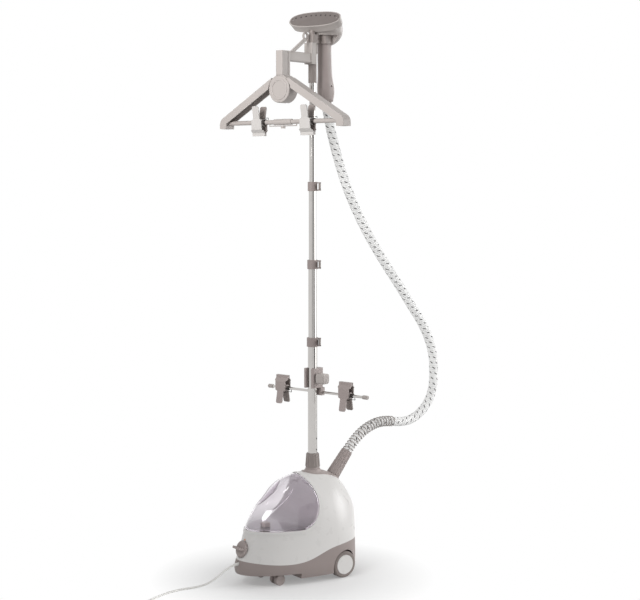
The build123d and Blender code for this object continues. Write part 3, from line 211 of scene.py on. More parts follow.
# Studio: lamps as place, aim, size and spread in degrees, cards as place and width
LAMPS = {
    "key_lamp": ((1.9, 2.9, 1.0), (0.0, 0.0, 0.2), 3.0, 50),
    "fill_lamp": ((0.5, -1.7, 1.9), (0.0, -0.1, 1.45), 1.0, 90),
    "rim_lamp": ((-0.6, 2.4, 1.9), (0.0, 0.05, 1.58), 0.8, 60),
}
GREY_CARD = ((4.6, -3.2), 4.0)
DARK_CARD = ((3.9, 0.7), 1.5)
DARK_CARD_LIGHT = 0.02
CARD_FOOT = -0.5
CARD_HEAD = 2.6
SENSOR_WIDTH = 36.0
FLOOR_HALF = 6.0
SHADOW_CENTRE = (0.0, -0.07, 0.0)
SHADOW_FADE = (0.20, 0.42, 0.25, 1.0)
WHITE = (1.0, 1.0, 1.0, 1.0)
BLACK = (0.0, 0.0, 0.0, 1.0)

# Where the hose's top part starts, which goes with the last stage
HOSE_TOP_FOOT = 1.278


def linear(red, green, blue):
    """An sRGB colour of 0 to 255 as the linear colour that Blender stores."""
    shares = (value / 255 for value in (red, green, blue))
    return tuple(s / 12.92 if s <= 0.04045 else ((s + 0.055) / 1.055) ** 2.4 for s in shares)


def colour(name, description, red, green, blue):
    """A colour property with an sRGB default."""
    return FloatVectorProperty(name=name, description=description, subtype="COLOR", size=3,
                               min=0.0, max=1.0, default=linear(red, green, blue))


def length(name, description, default):
    """A length property in metres."""
    return FloatProperty(name=name, description=description, default=default, min=0.0,
                         precision=4, unit="LENGTH")


class SteamerColours(PropertyGroup):
    """Colours of the steamer's finishes."""

    white: colour("White", "Housing and hubcaps", 212, 210, 208)
    grey: colour("Warm grey", "Deck, dial, casters, hose nut and handle", 160, 149, 146)
    light_grey: colour("Light grey", "Hanger, knob and steam head", 172, 165, 161)
    pale_grey: colour("Pale grey", "Upper clip fronts", 190, 186, 183)
    dark: colour("Dark grey", "Clip backs, levers, cradle and pole nut", 142, 133, 129)
    tank: colour("Tank", "Clear water tank", 244, 241, 244)
    tyre: colour("Tyre", "Rear tyres", 128, 119, 115)
    hose: colour("Hose", "Woven sleeve of the steam hose", 248, 248, 247)
    fleck: colour("Fleck", "Tracer thread in the hose sleeve", 62, 59, 60)
    lead: colour("Lead", "Mains lead, gland and plug", 232, 231, 228)
    chrome: colour("Chrome", "Plated pole tubes and trouser rod", 196, 193, 190)
    steel: colour("Steel", "Axle, pipes and screws", 170, 166, 162)
    spring: colour("Spring", "Darkened wire of the clip springs", 70, 66, 64)
    plate: colour("Steam plate", "Face of the steam head", 112, 104, 101)
    # Painted shade of the steam holes, put on their eyelets
    hole_shade: colour("Vent", "Dark eyelets of the steam holes", 46, 42, 41)
    # On the lock collars this tone is painted shade
    tray: colour("Tray", "Lower tray of the base and lock collars", 144, 133, 130)
    alloy: colour("Alloy", "Cast boiler", 176, 176, 172)
    pin: colour("Pin", "Pins of the plug", 200, 190, 164)
    lens: colour("Lens", "Unlit ready lamp", 196, 120, 60)
    floor: colour("Floor", "Studio floor", 246, 246, 246)


class SteamerSizes(PropertyGroup):
    """Sizes of the pieces that are made here."""

    hose_diameter: length("Hose", "Outside diameter of the steam hose", 0.028)
    hose_rib: length("Hose rib", "Spacing of the sleeve's cross ribs", 0.0062)
    fleck_pitch: length("Fleck pitch", "Spacing of the tracer rows along the hose", 0.017)
    guard_wire: length("Guard wire", "Wire thickness of the hose guard", 0.0026)
    guard_pitch: length("Guard pitch", "Spacing of the guard's turns", 0.0098)
    guard_length: length("Guard length", "Reach of the guard along the hose", 0.200)
    lead_diameter: length("Lead", "Diameter of the mains lead", 0.006)
    spring_wire: length("Spring wire", "Wire thickness of the clip springs", 0.0018)
    spring_reach: length("Spring reach", "Height of a clip spring's legs over its rod", 0.013)
    tie_width: length("Tie width", "Width of the strap around the coiled lead", 0.009)
    tie_thickness: length("Tie thickness", "Thickness of the strap around the coiled lead", 0.0010)
    hose_sides: IntProperty(name="Hose sides", description="Faces around the hose", default=28,
                            min=8)


class SteamerStage(PropertyGroup):
    """Camera and lamps."""

    camera_place: FloatVectorProperty(name="Camera place", description="Where the camera stands",
                                      subtype="TRANSLATION", unit="LENGTH",
                                      default=(3.3711, -2.3337, 1.1783))
    camera_turn: FloatVectorProperty(name="Camera turn", description="Which way the camera looks",
                                     subtype="EULER", unit="ROTATION",
                                     default=(math.radians(84.94), 0.0, math.radians(55)))
    lens: FloatProperty(name="Lens", description="Focal length on a 36 mm wide sensor",
                        subtype="DISTANCE_CAMERA", default=78.75)
    key_power: FloatProperty(name="Key lamp", description="Power of the key lamp", unit="POWER",
                             default=14.0)
    fill_power: FloatProperty(name="Fill lamp", description="Power of the fill lamp", unit="POWER",
                              default=8.0)
    rim_power: FloatProperty(name="Rim lamp", description="Power of the lamp behind the handset",
                             unit="POWER", default=1.2)
    world_light: FloatProperty(name="Room light", description="Strength of the room's even light",
                               default=0.49)
    card_light: FloatProperty(name="Card shade",
                              description="Brightness of the grey card that metal mirrors",
                              default=0.60)


# Node trees

def add(tree, kind, inputs=None, **settings):
    """A new node with its settings, its values and its incoming links."""
    node = tree.nodes.new(kind)
    for key, value in settings.items():
        setattr(node, key, value)
    for key, value in (inputs or {}).items():
        if isinstance(value, bpy.types.NodeSocket):
            tree.links.new(value, node.inputs[key])
        else:
            node.inputs[key].default_value = value
    return node


def maths(tree, operation, first, second=0.0, clamp=False):
    """The output of one Math node."""
    node = add(tree, "ShaderNodeMath", {0: first, 1: second}, operation=operation, use_clamp=clamp)
    return node.outputs[0]


def span(tree, value, low, high, to_low=0.0, to_high=1.0):
    """A value moved from one range to another and held there."""
    node = add(tree, "ShaderNodeMapRange", {"Value": value, "From Min": low, "From Max": high,
                                            "To Min": to_low, "To Max": to_high})
    return node.outputs["Result"]


def noise(tree, vector, scale, detail):
    """Noise at a scale in cells per metre."""
    node = add(tree, "ShaderNodeTexNoise", {"Vector": vector, "Scale": scale, "Detail": detail})
    return node.outputs["Fac"]


def mixed(tree, factor, first, second):
    """Two colours mixed by a factor."""
    node = add(tree, "ShaderNodeMix", data_type="RGBA")
    for index, value in ((0, factor), (6, first), (7, second)):
        socket = node.inputs[index]
        if isinstance(value, bpy.types.NodeSocket):
            tree.links.new(value, socket)
        else:
            socket.default_value = value
    return node.outputs[2]


def surface(tree, output, factor, first, second):
    """Two shaders mixed by a factor into the tree's output."""
    mix = add(tree, "ShaderNodeMixShader", {0: factor, 1: first.outputs[0], 2: second.outputs[0]})
    tree.links.new(mix.outputs[0], tree.nodes[output].inputs["Surface"])


def seen_rays(tree):
    """One for what the camera sees, straight, mirrored or through the tank, and else nothing."""
    ray = add(tree, "ShaderNodeLightPath").outputs
    seen = maths(tree, "ADD", ray["Is Camera Ray"], ray["Is Glossy Ray"])
    return maths(tree, "ADD", seen, ray["Is Transmission Ray"], clamp=True)


def effect(name, inputs, outputs):
    """An empty shader node group with named inputs and outputs."""
    tree = bpy.data.node_groups.new(name, "ShaderNodeTree")
    for label, kind, default in inputs:
        socket = tree.interface.new_socket(label, in_out="INPUT", socket_type=kind)
        socket.default_value = default
    for label, kind in outputs:
        tree.interface.new_socket(label, in_out="OUTPUT", socket_type=kind)
    return tree, tree.nodes.new("NodeGroupInput"), tree.nodes.new("NodeGroupOutput")


def make_moulded_grain():
    """Cloudy shade, uneven gloss and fine spark-eroded grain of a moulding."""
    tree, given, result = effect("moulded_grain", [
        ("Colour", "NodeSocketColor", (0.8, 0.8, 0.8, 1.0)),
        ("Roughness", "NodeSocketFloat", 0.4),
        ("Variation", "NodeSocketFloat", 0.03),
        ("Grain Scale", "NodeSocketFloat", 1400.0),
    ], [
        ("Colour", "NodeSocketColor"),
        ("Roughness", "NodeSocketFloat"),
        ("Height", "NodeSocketFloat"),
    ])
    place = add(tree, "ShaderNodeTexCoord").outputs["Object"]
    cloud = noise(tree, place, 11.0, 4.0)
    low = maths(tree, "SUBTRACT", 1.0, given.outputs["Variation"])
    high = maths(tree, "ADD", 1.0, given.outputs["Variation"])
    shade = span(tree, cloud, 0.3, 0.7, low, high)
    tinted = add(tree, "ShaderNodeHueSaturation",
                 {"Color": given.outputs["Colour"], "Value": shade})
    smear = noise(tree, place, 46.0, 5.0)
    gloss = maths(tree, "ADD", given.outputs["Roughness"], span(tree, smear, 0.3, 0.7, -0.05, 0.07))
    grain = noise(tree, place, given.outputs["Grain Scale"], 2.0)
    tree.links.new(tinted.outputs["Color"], result.inputs["Colour"])
    tree.links.new(gloss, result.inputs["Roughness"])
    tree.links.new(grain, result.inputs["Height"])
    return tree


def make_edge_wear():
    """Mask along the edges of a moulding, broken up where hands and floors rub it."""
    tree, given, result = effect("edge_wear", [
        ("Amount", "NodeSocketFloat", 0.5),
        ("Width", "NodeSocketFloat", 0.0015),
    ], [("Mask", "NodeSocketFloat")])
    bevel = add(tree, "ShaderNodeBevel", {"Radius": given.outputs["Width"]}, samples=4)
    flat = add(tree, "ShaderNodeNewGeometry").outputs["Normal"]
    same = add(tree, "ShaderNodeVectorMath", {0: bevel.outputs[0], 1: flat},
               operation="DOT_PRODUCT")
    edge = span(tree, same.outputs["Value"], 0.99, 0.80)
    place = add(tree, "ShaderNodeTexCoord").outputs["Object"]
    broken = span(tree, noise(tree, place, 130.0, 5.0), 0.40, 0.65)
    mask = maths(tree, "MULTIPLY", maths(tree, "MULTIPLY", edge, broken), given.outputs["Amount"])
    tree.links.new(mask, result.inputs["Mask"])
    return tree


def make_dust_film():
    """Mask of thin dust on faces that look up."""
    tree, given, result = effect("dust_film", [
        ("Amount", "NodeSocketFloat", 0.3),
    ], [("Mask", "NodeSocketFloat")])
    normal = add(tree, "ShaderNodeNewGeometry").outputs["Normal"]
    up = add(tree, "ShaderNodeSeparateXYZ", {"Vector": normal}).outputs["Z"]
    place = add(tree, "ShaderNodeTexCoord").outputs["Object"]
    patch = span(tree, noise(tree, place, 60.0, 6.0), 0.35, 0.75)
    mask = maths(tree, "MULTIPLY", maths(tree, "MULTIPLY", span(tree, up, 0.3, 1.0), patch),
                 given.outputs["Amount"])
    tree.links.new(mask, result.inputs["Mask"])
    return tree


def make_fine_scratches():
    """Mask of hair scratches, drawn out along a direction by unequal scales."""
    tree, given, result = effect("fine_scratches", [
        ("Amount", "NodeSocketFloat", 0.5),
        ("Scales", "NodeSocketVector", (900.0, 900.0, 12.0)),
    ], [("Mask", "NodeSocketFloat")])
    place = add(tree, "ShaderNodeTexCoord").outputs["Object"]
    drawn = add(tree, "ShaderNodeVectorMath", {0: place, 1: given.outputs["Scales"]},
                operation="MULTIPLY").outputs["Vector"]
    lines = span(tree, noise(tree, drawn, 1.0, 2.0), 0.52, 0.70)
    tree.links.new(maths(tree, "MULTIPLY", lines, given.outputs["Amount"]), result.inputs["Mask"])
    return tree


def blank(name):
    """A material with its Principled shader, in place of the frame's plain one of that name."""
    if name in bpy.data.materials:
        bpy.data.materials[name].name = "frame_" + name
    material = bpy.data.materials.new(name)
    material.use_nodes = True
    return material, material.node_tree, material.node_tree.nodes["Principled BSDF"]


def placed(tree, group, **values):
    """A shared effect placed in a material with its own values."""
    named = {key.replace("_", " ").title(): value for key, value in values.items()}
    return add(tree, "ShaderNodeGroup", named, node_tree=bpy.data.node_groups[group]).outputs


def bumped(tree, shader, height, strength, distance):
    """A height that feeds the shader's normal."""
    bump = add(tree, "ShaderNodeBump",
               {"Height": height, "Strength": strength, "Distance": distance})
    tree.links.new(bump.outputs["Normal"], shader.inputs["Normal"])


def moulded_plastic(name, tone, roughness, variation, wear, dust, coat, worn_tone):
    """Injection-moulded plastic with grain, rubbed edges and a little dust."""
    material, tree, shader = blank(name)
    grain = placed(tree, "moulded_grain", colour=(*tone, 1.0), roughness=roughness,
                   variation=variation)
    rubbed = placed(tree, "edge_wear", amount=wear)["Mask"]
    dusty = placed(tree, "dust_film", amount=dust)["Mask"]
    worn = mixed(tree, rubbed, grain["Colour"], (*worn_tone, 1.0))
    shown = mixed(tree, dusty, worn, (*linear(*DUST_TONE), 1.0))
    gloss = maths(tree, "ADD", grain["Roughness"], maths(tree, "MULTIPLY", dusty, 0.5), clamp=True)
    tree.links.new(shown, shader.inputs["Base Color"])
    tree.links.new(gloss, shader.inputs["Roughness"])
    shader.inputs["Specular IOR Level"].default_value = 0.36
    shader.inputs["Coat Weight"].default_value = coat
    shader.inputs["Coat Roughness"].default_value = 0.12
    bumped(tree, shader, grain["Height"], 0.12, 0.0002)
    return material


def plated_metal(name, tone, roughness, scales, scratch):
    """Plated or drawn metal with lengthwise hair scratches."""
    material, tree, shader = blank(name)
    shader.inputs["Metallic"].default_value = 1.0
    grain = placed(tree, "moulded_grain", colour=(*tone, 1.0), roughness=roughness, variation=0.05)
    lines = placed(tree, "fine_scratches", amount=scratch, scales=scales)["Mask"]
    gloss = maths(tree, "ADD", grain["Roughness"], maths(tree, "MULTIPLY", lines, 0.25), clamp=True)
    tree.links.new(grain["Colour"], shader.inputs["Base Color"])
    tree.links.new(gloss, shader.inputs["Roughness"])
    bumped(tree, shader, lines, 0.05, 0.0001)
    return material


def clear_plastic(name, tone):
    """Clear plastic of the tank, faintly tinted and darker towards its bottom, with faint handling
    marks.
    """
    material, tree, shader = blank(name)
    shader.inputs["Transmission Weight"].default_value = 1.0
    shader.inputs["IOR"].default_value = 1.16
    shader.inputs["Coat Weight"].default_value = 1.0
    shader.inputs["Coat Roughness"].default_value = 0.04
    grain = placed(tree, "moulded_grain", colour=(*tone, 1.0), roughness=0.06, variation=0.02)
    marks = placed(tree, "fine_scratches", amount=0.25, scales=(160.0, 60.0, 60.0))["Mask"]
    dusty = placed(tree, "dust_film", amount=0.05)["Mask"]
    gloss = maths(tree, "ADD", grain["Roughness"], maths(tree, "MULTIPLY", marks, 0.2), clamp=True)
    shown = mixed(tree, dusty, grain["Colour"], (*linear(*TANK_DUST_TONE), 1.0))
    place = add(tree, "ShaderNodeTexCoord").outputs["Object"]
    height = add(tree, "ShaderNodeSeparateXYZ", {"Vector": place}).outputs["Z"]
    # Darker towards the bottom of the tank
    low_darkening = span(tree, height, *TANK_LOW_DARKENING)
    darkened_low = add(tree, "ShaderNodeHueSaturation", {"Color": shown, "Value": low_darkening})
    tree.links.new(darkened_low.outputs["Color"], shader.inputs["Base Color"])
    tree.links.new(gloss, shader.inputs["Roughness"])
    bumped(tree, shader, marks, 0.02, 0.0002)
    clear = add(tree, "ShaderNodeBsdfTransparent", {"Color": CLEAR_TINT})
    ray = add(tree, "ShaderNodeLightPath").outputs
    trapped = maths(tree, "GREATER_THAN", ray["Ray Depth"], TRAPPED_DEPTH)
    passed = maths(tree, "MAXIMUM", ray["Is Shadow Ray"], trapped)
    surface(tree, "Material Output", passed, shader, clear)
    return material


def woven_sleeve(name, tone, fleck, rib, pitch):
    """White woven sleeve with cross ribs, painted shade in the rib valleys and a spiral of dark flecks,
    drawn in the hose's UVs.
    """
    material, tree, shader = blank(name)
    uv = add(tree, "ShaderNodeUVMap", uv_map="sleeve").outputs["UV"]
    place = add(tree, "ShaderNodeSeparateXYZ", {"Vector": uv})
    along, around = place.outputs["X"], place.outputs["Y"]
    row = maths(tree, "ADD", maths(tree, "DIVIDE", along, pitch), around)
    step = maths(tree, "MULTIPLY", maths(tree, "FLOOR", row), FLECK_SHIFT)
    turned = maths(tree, "MULTIPLY", around, FLECK_COLUMNS)
    column = maths(tree, "FRACT", maths(tree, "ADD", turned, step))
    offset = maths(tree, "SUBTRACT", column, 0.5)
    lean = maths(tree, "MULTIPLY", offset, 0.5)
    across = maths(tree, "SUBTRACT", maths(tree, "FRACT", maths(tree, "ADD", row, lean)), 0.5)
    thin = span(tree, maths(tree, "ABSOLUTE", across), 0.13, 0.08)
    short = span(tree, maths(tree, "ABSOLUTE", offset), 0.26, 0.20)
    tracer = maths(tree, "MULTIPLY", thin, short)
    ribs = maths(tree, "SINE", maths(tree, "MULTIPLY", along, 2 * math.pi / rib))
    threads = maths(tree, "SINE", maths(tree, "MULTIPLY", around, 2 * math.pi * SLEEVE_THREADS))
    picks = maths(tree, "SINE", maths(tree, "MULTIPLY", along, 2 * math.pi * PICKS_PER_RIB / rib))
    weave = maths(tree, "MULTIPLY", threads, picks)
    grain = placed(tree, "moulded_grain", colour=(*tone, 1.0), roughness=0.72, variation=0.03)
    relief = maths(tree, "ADD", ribs, maths(tree, "MULTIPLY", weave, 0.35))
    # Painted shade: the valleys of the ribs and weave are darkened towards the valley tone
    valley_shade = span(tree, relief, -1.1, 0.4, 0.3, 0.0)
    shaded = mixed(tree, valley_shade, grain["Colour"], (*linear(*VALLEY_SHADE_TONE), 1.0))
    tree.links.new(mixed(tree, tracer, shaded, (*fleck, 1.0)), shader.inputs["Base Color"])
    tree.links.new(grain["Roughness"], shader.inputs["Roughness"])
    shader.inputs["Sheen Weight"].default_value = 0.25
    height = maths(tree, "MULTIPLY", maths(tree, "ADD", ribs, weave), 0.5)
    bumped(tree, shader, height, 0.5, 0.0005)
    return material


def lamp_lens(name, tone):
    """Small clear lens of the ready lamp, unlit."""
    material, tree, shader = blank(name)
    grain = placed(tree, "moulded_grain", colour=(*tone, 1.0), roughness=0.12, variation=0.06)
    tree.links.new(grain["Colour"], shader.inputs["Base Color"])
    tree.links.new(grain["Roughness"], shader.inputs["Roughness"])
    shader.inputs["Coat Weight"].default_value = 1.0
    bumped(tree, shader, grain["Height"], 0.05, 0.0002)
    return material


# Meshes and curves

def shown(name, data, material, body, slot):
    """A new object of this mesh or curve that rides on a body, if one is given."""
    piece = bpy.data.objects.new(name, data)
    bpy.context.scene.collection.objects.link(piece)
    data.materials.append(material)
    if body:
        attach(piece, body)
    return piece


def line_curve(name, points, kind):
    """A curve of one spline with these points as its control points."""
    curve = bpy.data.curves.new(name, "CURVE")
    curve.dimensions = "3D"
    spline = curve.splines.new(kind)
    spline.points.add(len(points) - 1)
    for target, point in zip(spline.points, points):
        target.co = (*point, 1.0)
    return curve


def make_round(curve, thickness, steps):
    """Give a curve a round section with closed ends."""
    curve.bevel_depth = thickness / 2
    curve.bevel_resolution = steps
    curve.use_fill_caps = True


def route_curve(name, points, steps=32):
    """A smooth curve with the route's points as its control points."""
    curve = line_curve(name, points, "NURBS")
    spline = curve.splines[0]
    spline.order_u = 3
    spline.use_endpoint_u = True
    spline.resolution_u = steps
    return curve


def wire_curve(name, points, thickness):
    """A round wire through points."""
    curve = line_curve(name, points, "POLY")
    make_round(curve, thickness, 3)
    return curve


def curve_mesh(curve):
    """The mesh of a curve, in place of the curve."""
    holder = bpy.data.objects.new(curve.name, curve)
    mesh = bpy.data.meshes.new_from_object(holder)
    bpy.data.objects.remove(holder)
    bpy.data.curves.remove(curve)
    return mesh


def route_line(points):
    """Points read from the route's smooth curve."""
    mesh = curve_mesh(route_curve("route", points))
    line = [vertex.co.copy() for vertex in mesh.vertices]
    bpy.data.meshes.remove(mesh)
    return line


def evenly(line, spacing):
    """The line's points at an even spacing, with the distance of each."""
    travelled = [0.0]
    for before, after in zip(line, line[1:]):
        travelled.append(travelled[-1] + (after - before).length)
    count = max(2, round(travelled[-1] / spacing))
    found, at = [], 0
    for step in range(count + 1):
        goal = travelled[-1] * step / count
        while at < len(line) - 2 and travelled[at + 1] < goal:
            at += 1
        run = travelled[at + 1] - travelled[at]
        share = (goal - travelled[at]) / run if run else 0.0
        found.append((goal, line[at].lerp(line[at + 1], share)))
    return found


def directions(points):
    """The two cross directions of a line at each point, steady along X."""
    pairs = []
    for index in range(len(points)):
        before, after = points[max(index - 1, 0)], points[min(index + 1, len(points) - 1)]
        along = (after - before).normalized()
        side = (Vector((1, 0, 0)) - along * along.x).normalized()
        pairs.append((side, along.cross(side)))
    return pairs


def tube_mesh(name, places, radius, ripple, rib, sides, start):
    """A ribbed tube along a line, with UVs in metres along and turns around."""
    points = [point for _, point in places]
    vertices, faces, uvs = [], [], []
    for (travel, point), (side, other) in zip(places, directions(points)):
        swell = radius + ripple * math.sin(2 * math.pi * (start + travel) / rib)
        for step in range(sides):
            angle = 2 * math.pi * step / sides
            vertices.append(point + swell * (math.cos(angle) * side + math.sin(angle) * other))
    for ring in range(len(places) - 1):
        for step in range(sides):
            following = (step + 1) % sides
            low, high = ring * sides, (ring + 1) * sides
            faces.append((low + step, low + following, high + following, high + step))
            near, far = start + places[ring][0], start + places[ring + 1][0]
            turn, turned = step / sides, (step + 1) / sides
            uvs += [(near, turn), (near, turned), (far, turned), (far, turn)]
    for ring, order in ((0, -1), (len(places) - 1, 1)):
        cap = [ring * sides + step for step in range(sides)][::order]
        faces.append(cap)
        uvs += [(start + places[ring][0], 0.0)] * sides
    mesh = bpy.data.meshes.new(name)
    mesh.from_pydata(vertices, [], faces)
    layer = mesh.uv_layers.new(name="sleeve")
    for loop, uv in zip(layer.data, uvs):
        loop.uv = uv
    for face in mesh.polygons:
        face.use_smooth = len(face.vertices) == 4
    return mesh


def yawed(point):
    """A point of the hanger, trouser bar or handset, turned about the pole."""
    return Matrix.Rotation(TOP_YAW, 4, "Z") @ Vector(point)


def on_head(across, up, out):
    """A point on the tilted face of the steam head, turned about the handle and the pole."""
    normal = Vector((0.0, -math.cos(HEAD_TILT), math.sin(HEAD_TILT)))
    rise = normal.cross(Vector((1, 0, 0)))
    flat = Vector(HEAD_CENTRE) + Vector((across, 0, 0)) + rise * up + normal * out
    pivot = Vector((0.0, HEAD_PIVOT_Y, 0.0))
    return yawed(Matrix.Rotation(HEAD_TURN, 4, "Z") @ (flat - pivot) + pivot)


def lathe(profile, place, axis, steps):
    """Points and faces of a closed profile of radius and height turned about an axis."""
    axis = Vector(axis).normalized()
    side = axis.orthogonal().normalized()
    other = axis.cross(side)
    points, faces, count = [], [], len(profile)
    for step in range(steps):
        angle = 2 * math.pi * step / steps
        way = math.cos(angle) * side + math.sin(angle) * other
        points += [Vector(place) + way * radius + axis * height for radius, height in profile]
    for step in range(steps):
        near, far = step * count, (step + 1) % steps * count
        for index in range(count):
            after = (index + 1) % count
            faces.append((near + index, far + index, far + after, near + after))
    return points, faces


def solid_mesh(name, shapes):
    """One smooth-shaded mesh of several shapes, without doubled points."""
    made = bmesh.new()
    for points, faces in shapes:
        corners = [made.verts.new(point) for point in points]
        for face in faces:
            made.faces.new([corners[index] for index in face])
    bmesh.ops.remove_doubles(made, verts=made.verts, dist=1e-6)
    bmesh.ops.dissolve_degenerate(made, edges=made.edges, dist=1e-6)
    bmesh.ops.recalc_face_normals(made, faces=made.faces)
    mesh = bpy.data.meshes.new(name)
    made.to_mesh(mesh)
    made.free()
    mesh.shade_smooth()
    mesh.set_sharp_from_angle(angle=math.radians(35))
    return mesh


def screw_head(place, axis, radius):
    """A domed screw head with a dished drive recess."""
    shares = [(0.0, 0.0), (1.0, 0.0), (1.0, 0.5), (0.8, 0.85), (0.45, 1.0), (0.38, 0.45), (0.0, 0.3)]
    profile = [(across * radius, up * SCREW_HEIGHT) for across, up in shares]
    return lathe(profile, place, axis, 24)


# Operators

class STEAMER_OT_finishes(Operator):
    """Build the shared effects and finishes and give each frame node its own"""

    bl_idname = "steamer.finishes"
    bl_label = "Finishes"

    def execute(self, context):
        tones = context.scene.steamer_colours
        make_moulded_grain()
        make_edge_wear()
        make_dust_film()
        make_fine_scratches()
        for name, (tone, roughness, variation, wear, dust, coat, worn) in MOULDED.items():
            moulded_plastic(name, getattr(tones, tone), roughness, variation, wear, dust, coat,
                            linear(*worn))
        for name, (tone, roughness, scales, scratch) in METALS.items():
            plated_metal(name, getattr(tones, tone), roughness, scales, scratch)
        clear_plastic("clear_tank", tones.tank)
        lamp_lens("lens", tones.lens)
        sizes = context.scene.steamer_sizes
        woven_sleeve("hose_weave", tones.hose, tones.fleck, sizes.hose_rib, sizes.fleck_pitch)
        for node, named in {**node_slots(), **FINISH_CHANGES}.items():
            piece = frame["nodes"][node]
            piece.data.materials.clear()
            piece.data.materials.append(bpy.data.materials[named])
        return {"FINISHED"}


def node_slots():
    """The record's finish of each frame node."""
    return {entry["node"]: entry["material_slot"] for entry in frame["record"]["subparts"]}


class STEAMER_OT_hose(Operator):
    """Lay the ribbed steam hose from the outlet to the handset"""

    bl_idname = "steamer.hose"
    bl_label = "Steam hose"

    def execute(self, context):
        sizes = context.scene.steamer_sizes
        rib = sizes.hose_rib
        radius = sizes.hose_diameter / 2 - HOSE_RIPPLE
        weave = bpy.data.materials["hose_weave"]
        lower = evenly(route_line(HOSE_LOWER_ROUTE), rib / RINGS_PER_RIB)
        upper = evenly(route_line(HOSE_UPPER_ROUTE), rib / RINGS_PER_RIB)
        split = next(index for index, (_, point) in enumerate(upper) if point.z > HOSE_TOP_FOOT)
        pieces, start = {}, 0.0
        for name, places, body, node in (
                ("steam_hose_lower_sleeve", lower, "base", "steam_hose_lower"),
                ("steam_hose_upper_sleeve", upper[:split + 1], "base", "steam_hose_upper"),
                ("steam_hose_top_sleeve", upper[split:], "stage_4", "steam_hose_upper")):
            places = [(travel - places[0][0], point) for travel, point in places]
            mesh = tube_mesh(name, places, radius, HOSE_RIPPLE, rib, sizes.hose_sides, start)
            piece = shown(name, mesh, weave, body, "hose_weave")
            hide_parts(node)
            start += places[-1][0]
            pieces[name] = (piece, places)
        piece, places = pieces["steam_hose_upper_sleeve"]
        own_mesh(piece)
        return {"FINISHED"}


class STEAMER_OT_guard(Operator):
    """Wind the wire guard around the foot of the hose"""

    bl_idname = "steamer.guard"
    bl_label = "Hose guard"

    def execute(self, context):
        sizes = context.scene.steamer_sizes
        places = evenly(route_line(HOSE_LOWER_ROUTE), GUARD_SPACING)
        places = [(travel, point) for travel, point in places if travel <= sizes.guard_length]
        reach = sizes.hose_diameter / 2 + GUARD_SEAT * sizes.guard_wire
        closed = GUARD_CLOSED_TURNS * sizes.guard_wire
        turns, points, before = 0.0, [], 0.0
        pairs = directions([point for _, point in places])
        for (travel, point), (side, other) in zip(places, pairs):
            end = min(travel, sizes.guard_length - travel)
            pitch = sizes.guard_pitch if end > closed else sizes.guard_wire
            turns += (travel - before) / pitch
            before = travel
            angle = 2 * math.pi * turns
            points.append(point + reach * (math.cos(angle) * side + math.sin(angle) * other))
        wire = wire_curve("hose_guard_spring", points, sizes.guard_wire)
        piece = shown("hose_guard_spring", wire, bpy.data.materials["light_grey_plastic"], "base",
                      "light_grey_plastic")
        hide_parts("hose_guard")
        return {"FINISHED"}


def coil_point(step, reach, rise):
    """A point of the coiled lead at a step of its turn."""
    angle = COIL_START + 2 * math.pi * step / COIL_STEPS
    across, along = COIL_CENTRE
    return (across + reach * math.cos(angle), along + reach * math.sin(angle), rise)


def coil_points():
    """Control points of the lead's turns: inwards on the floor, then outwards on top."""
    rows = [(radius, COIL_LAYERS[0]) for radius in COIL_ROWS]
    rows += [(radius, COIL_LAYERS[1]) for radius in reversed(COIL_ROWS)]
    points = []
    for turn, (radius, height) in enumerate(rows):
        following = rows[min(turn + 1, len(rows) - 1)]
        for step in range(COIL_STEPS):
            share = max(0.0, (step - COIL_STEPS + COIL_SHIFT) / COIL_SHIFT)
            reach = radius + (following[0] - radius) * share
            rise = height + (following[1] - height) * share
            points.append(coil_point(step, reach, rise))
    points += [coil_point(step, *rows[-1]) for step in range(COIL_RUN_OUT)]
    return points


class STEAMER_OT_lead(Operator):
    """Lay the mains lead, with its spare length in a tied coil by the plug"""

    bl_idname = "steamer.lead"
    bl_label = "Mains lead"

    def execute(self, context):
        sizes = context.scene.steamer_sizes
        points = LEAD_ROUTE + coil_points() + PLUG_TAIL
        curve = route_curve("mains_lead", points, 8)
        make_round(curve, sizes.lead_diameter, 5)
        lead = shown("mains_lead", curve, bpy.data.materials["white_cord"], "base", "white_cord")
        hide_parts("mains_cord", "mains_coil")
        line = route_line(points)
        return {"FINISHED"}


class STEAMER_OT_tie(Operator):
    """Hold the coiled lead with a strap around its turns"""

    bl_idname = "steamer.tie"
    bl_label = "Coil tie"

    def execute(self, context):
        sizes = context.scene.steamer_sizes
        slack = sizes.lead_diameter / 2 + TIE_SLACK
        inner, outer = COIL_ROWS[-1] - slack + TIE_CORNER, COIL_ROWS[0] + slack - TIE_CORNER
        low, high = COIL_LAYERS[0] - slack + TIE_CORNER, COIL_LAYERS[1] + slack - TIE_CORNER
        loop = []
        for quarter, centre in enumerate(((outer, high), (inner, high), (inner, low), (outer, low))):
            for step in range(TIE_CORNER_STEPS + 1):
                angle = math.radians(90 * quarter + 90 * step / TIE_CORNER_STEPS)
                loop.append((Vector(centre), Vector((math.cos(angle), math.sin(angle)))))
        away = Vector((math.cos(TIE_ANGLE), math.sin(TIE_ANGLE), 0.0))
        along = Vector((-away.y, away.x, 0.0))
        half, thick = sizes.tie_width / 2, sizes.tie_thickness
        points, faces = [], []
        for centre, way in loop:
            for shift, grow in ((-half, 0.0), (-half, thick), (half, thick), (half, 0.0)):
                spot = centre + way * (TIE_CORNER + grow)
                points.append(Vector((*COIL_CENTRE, spot.y)) + away * spot.x + along * shift)
        for step in range(len(loop)):
            near, far = 4 * step, 4 * ((step + 1) % len(loop))
            for index in range(4):
                after = (index + 1) % 4
                faces.append((near + index, near + after, far + after, far + index))
        mesh = solid_mesh("coil_tie", [(points, faces)])
        shown("coil_tie", mesh, bpy.data.materials["dark_plastic"], "base", "dark_plastic")
        return {"FINISHED"}


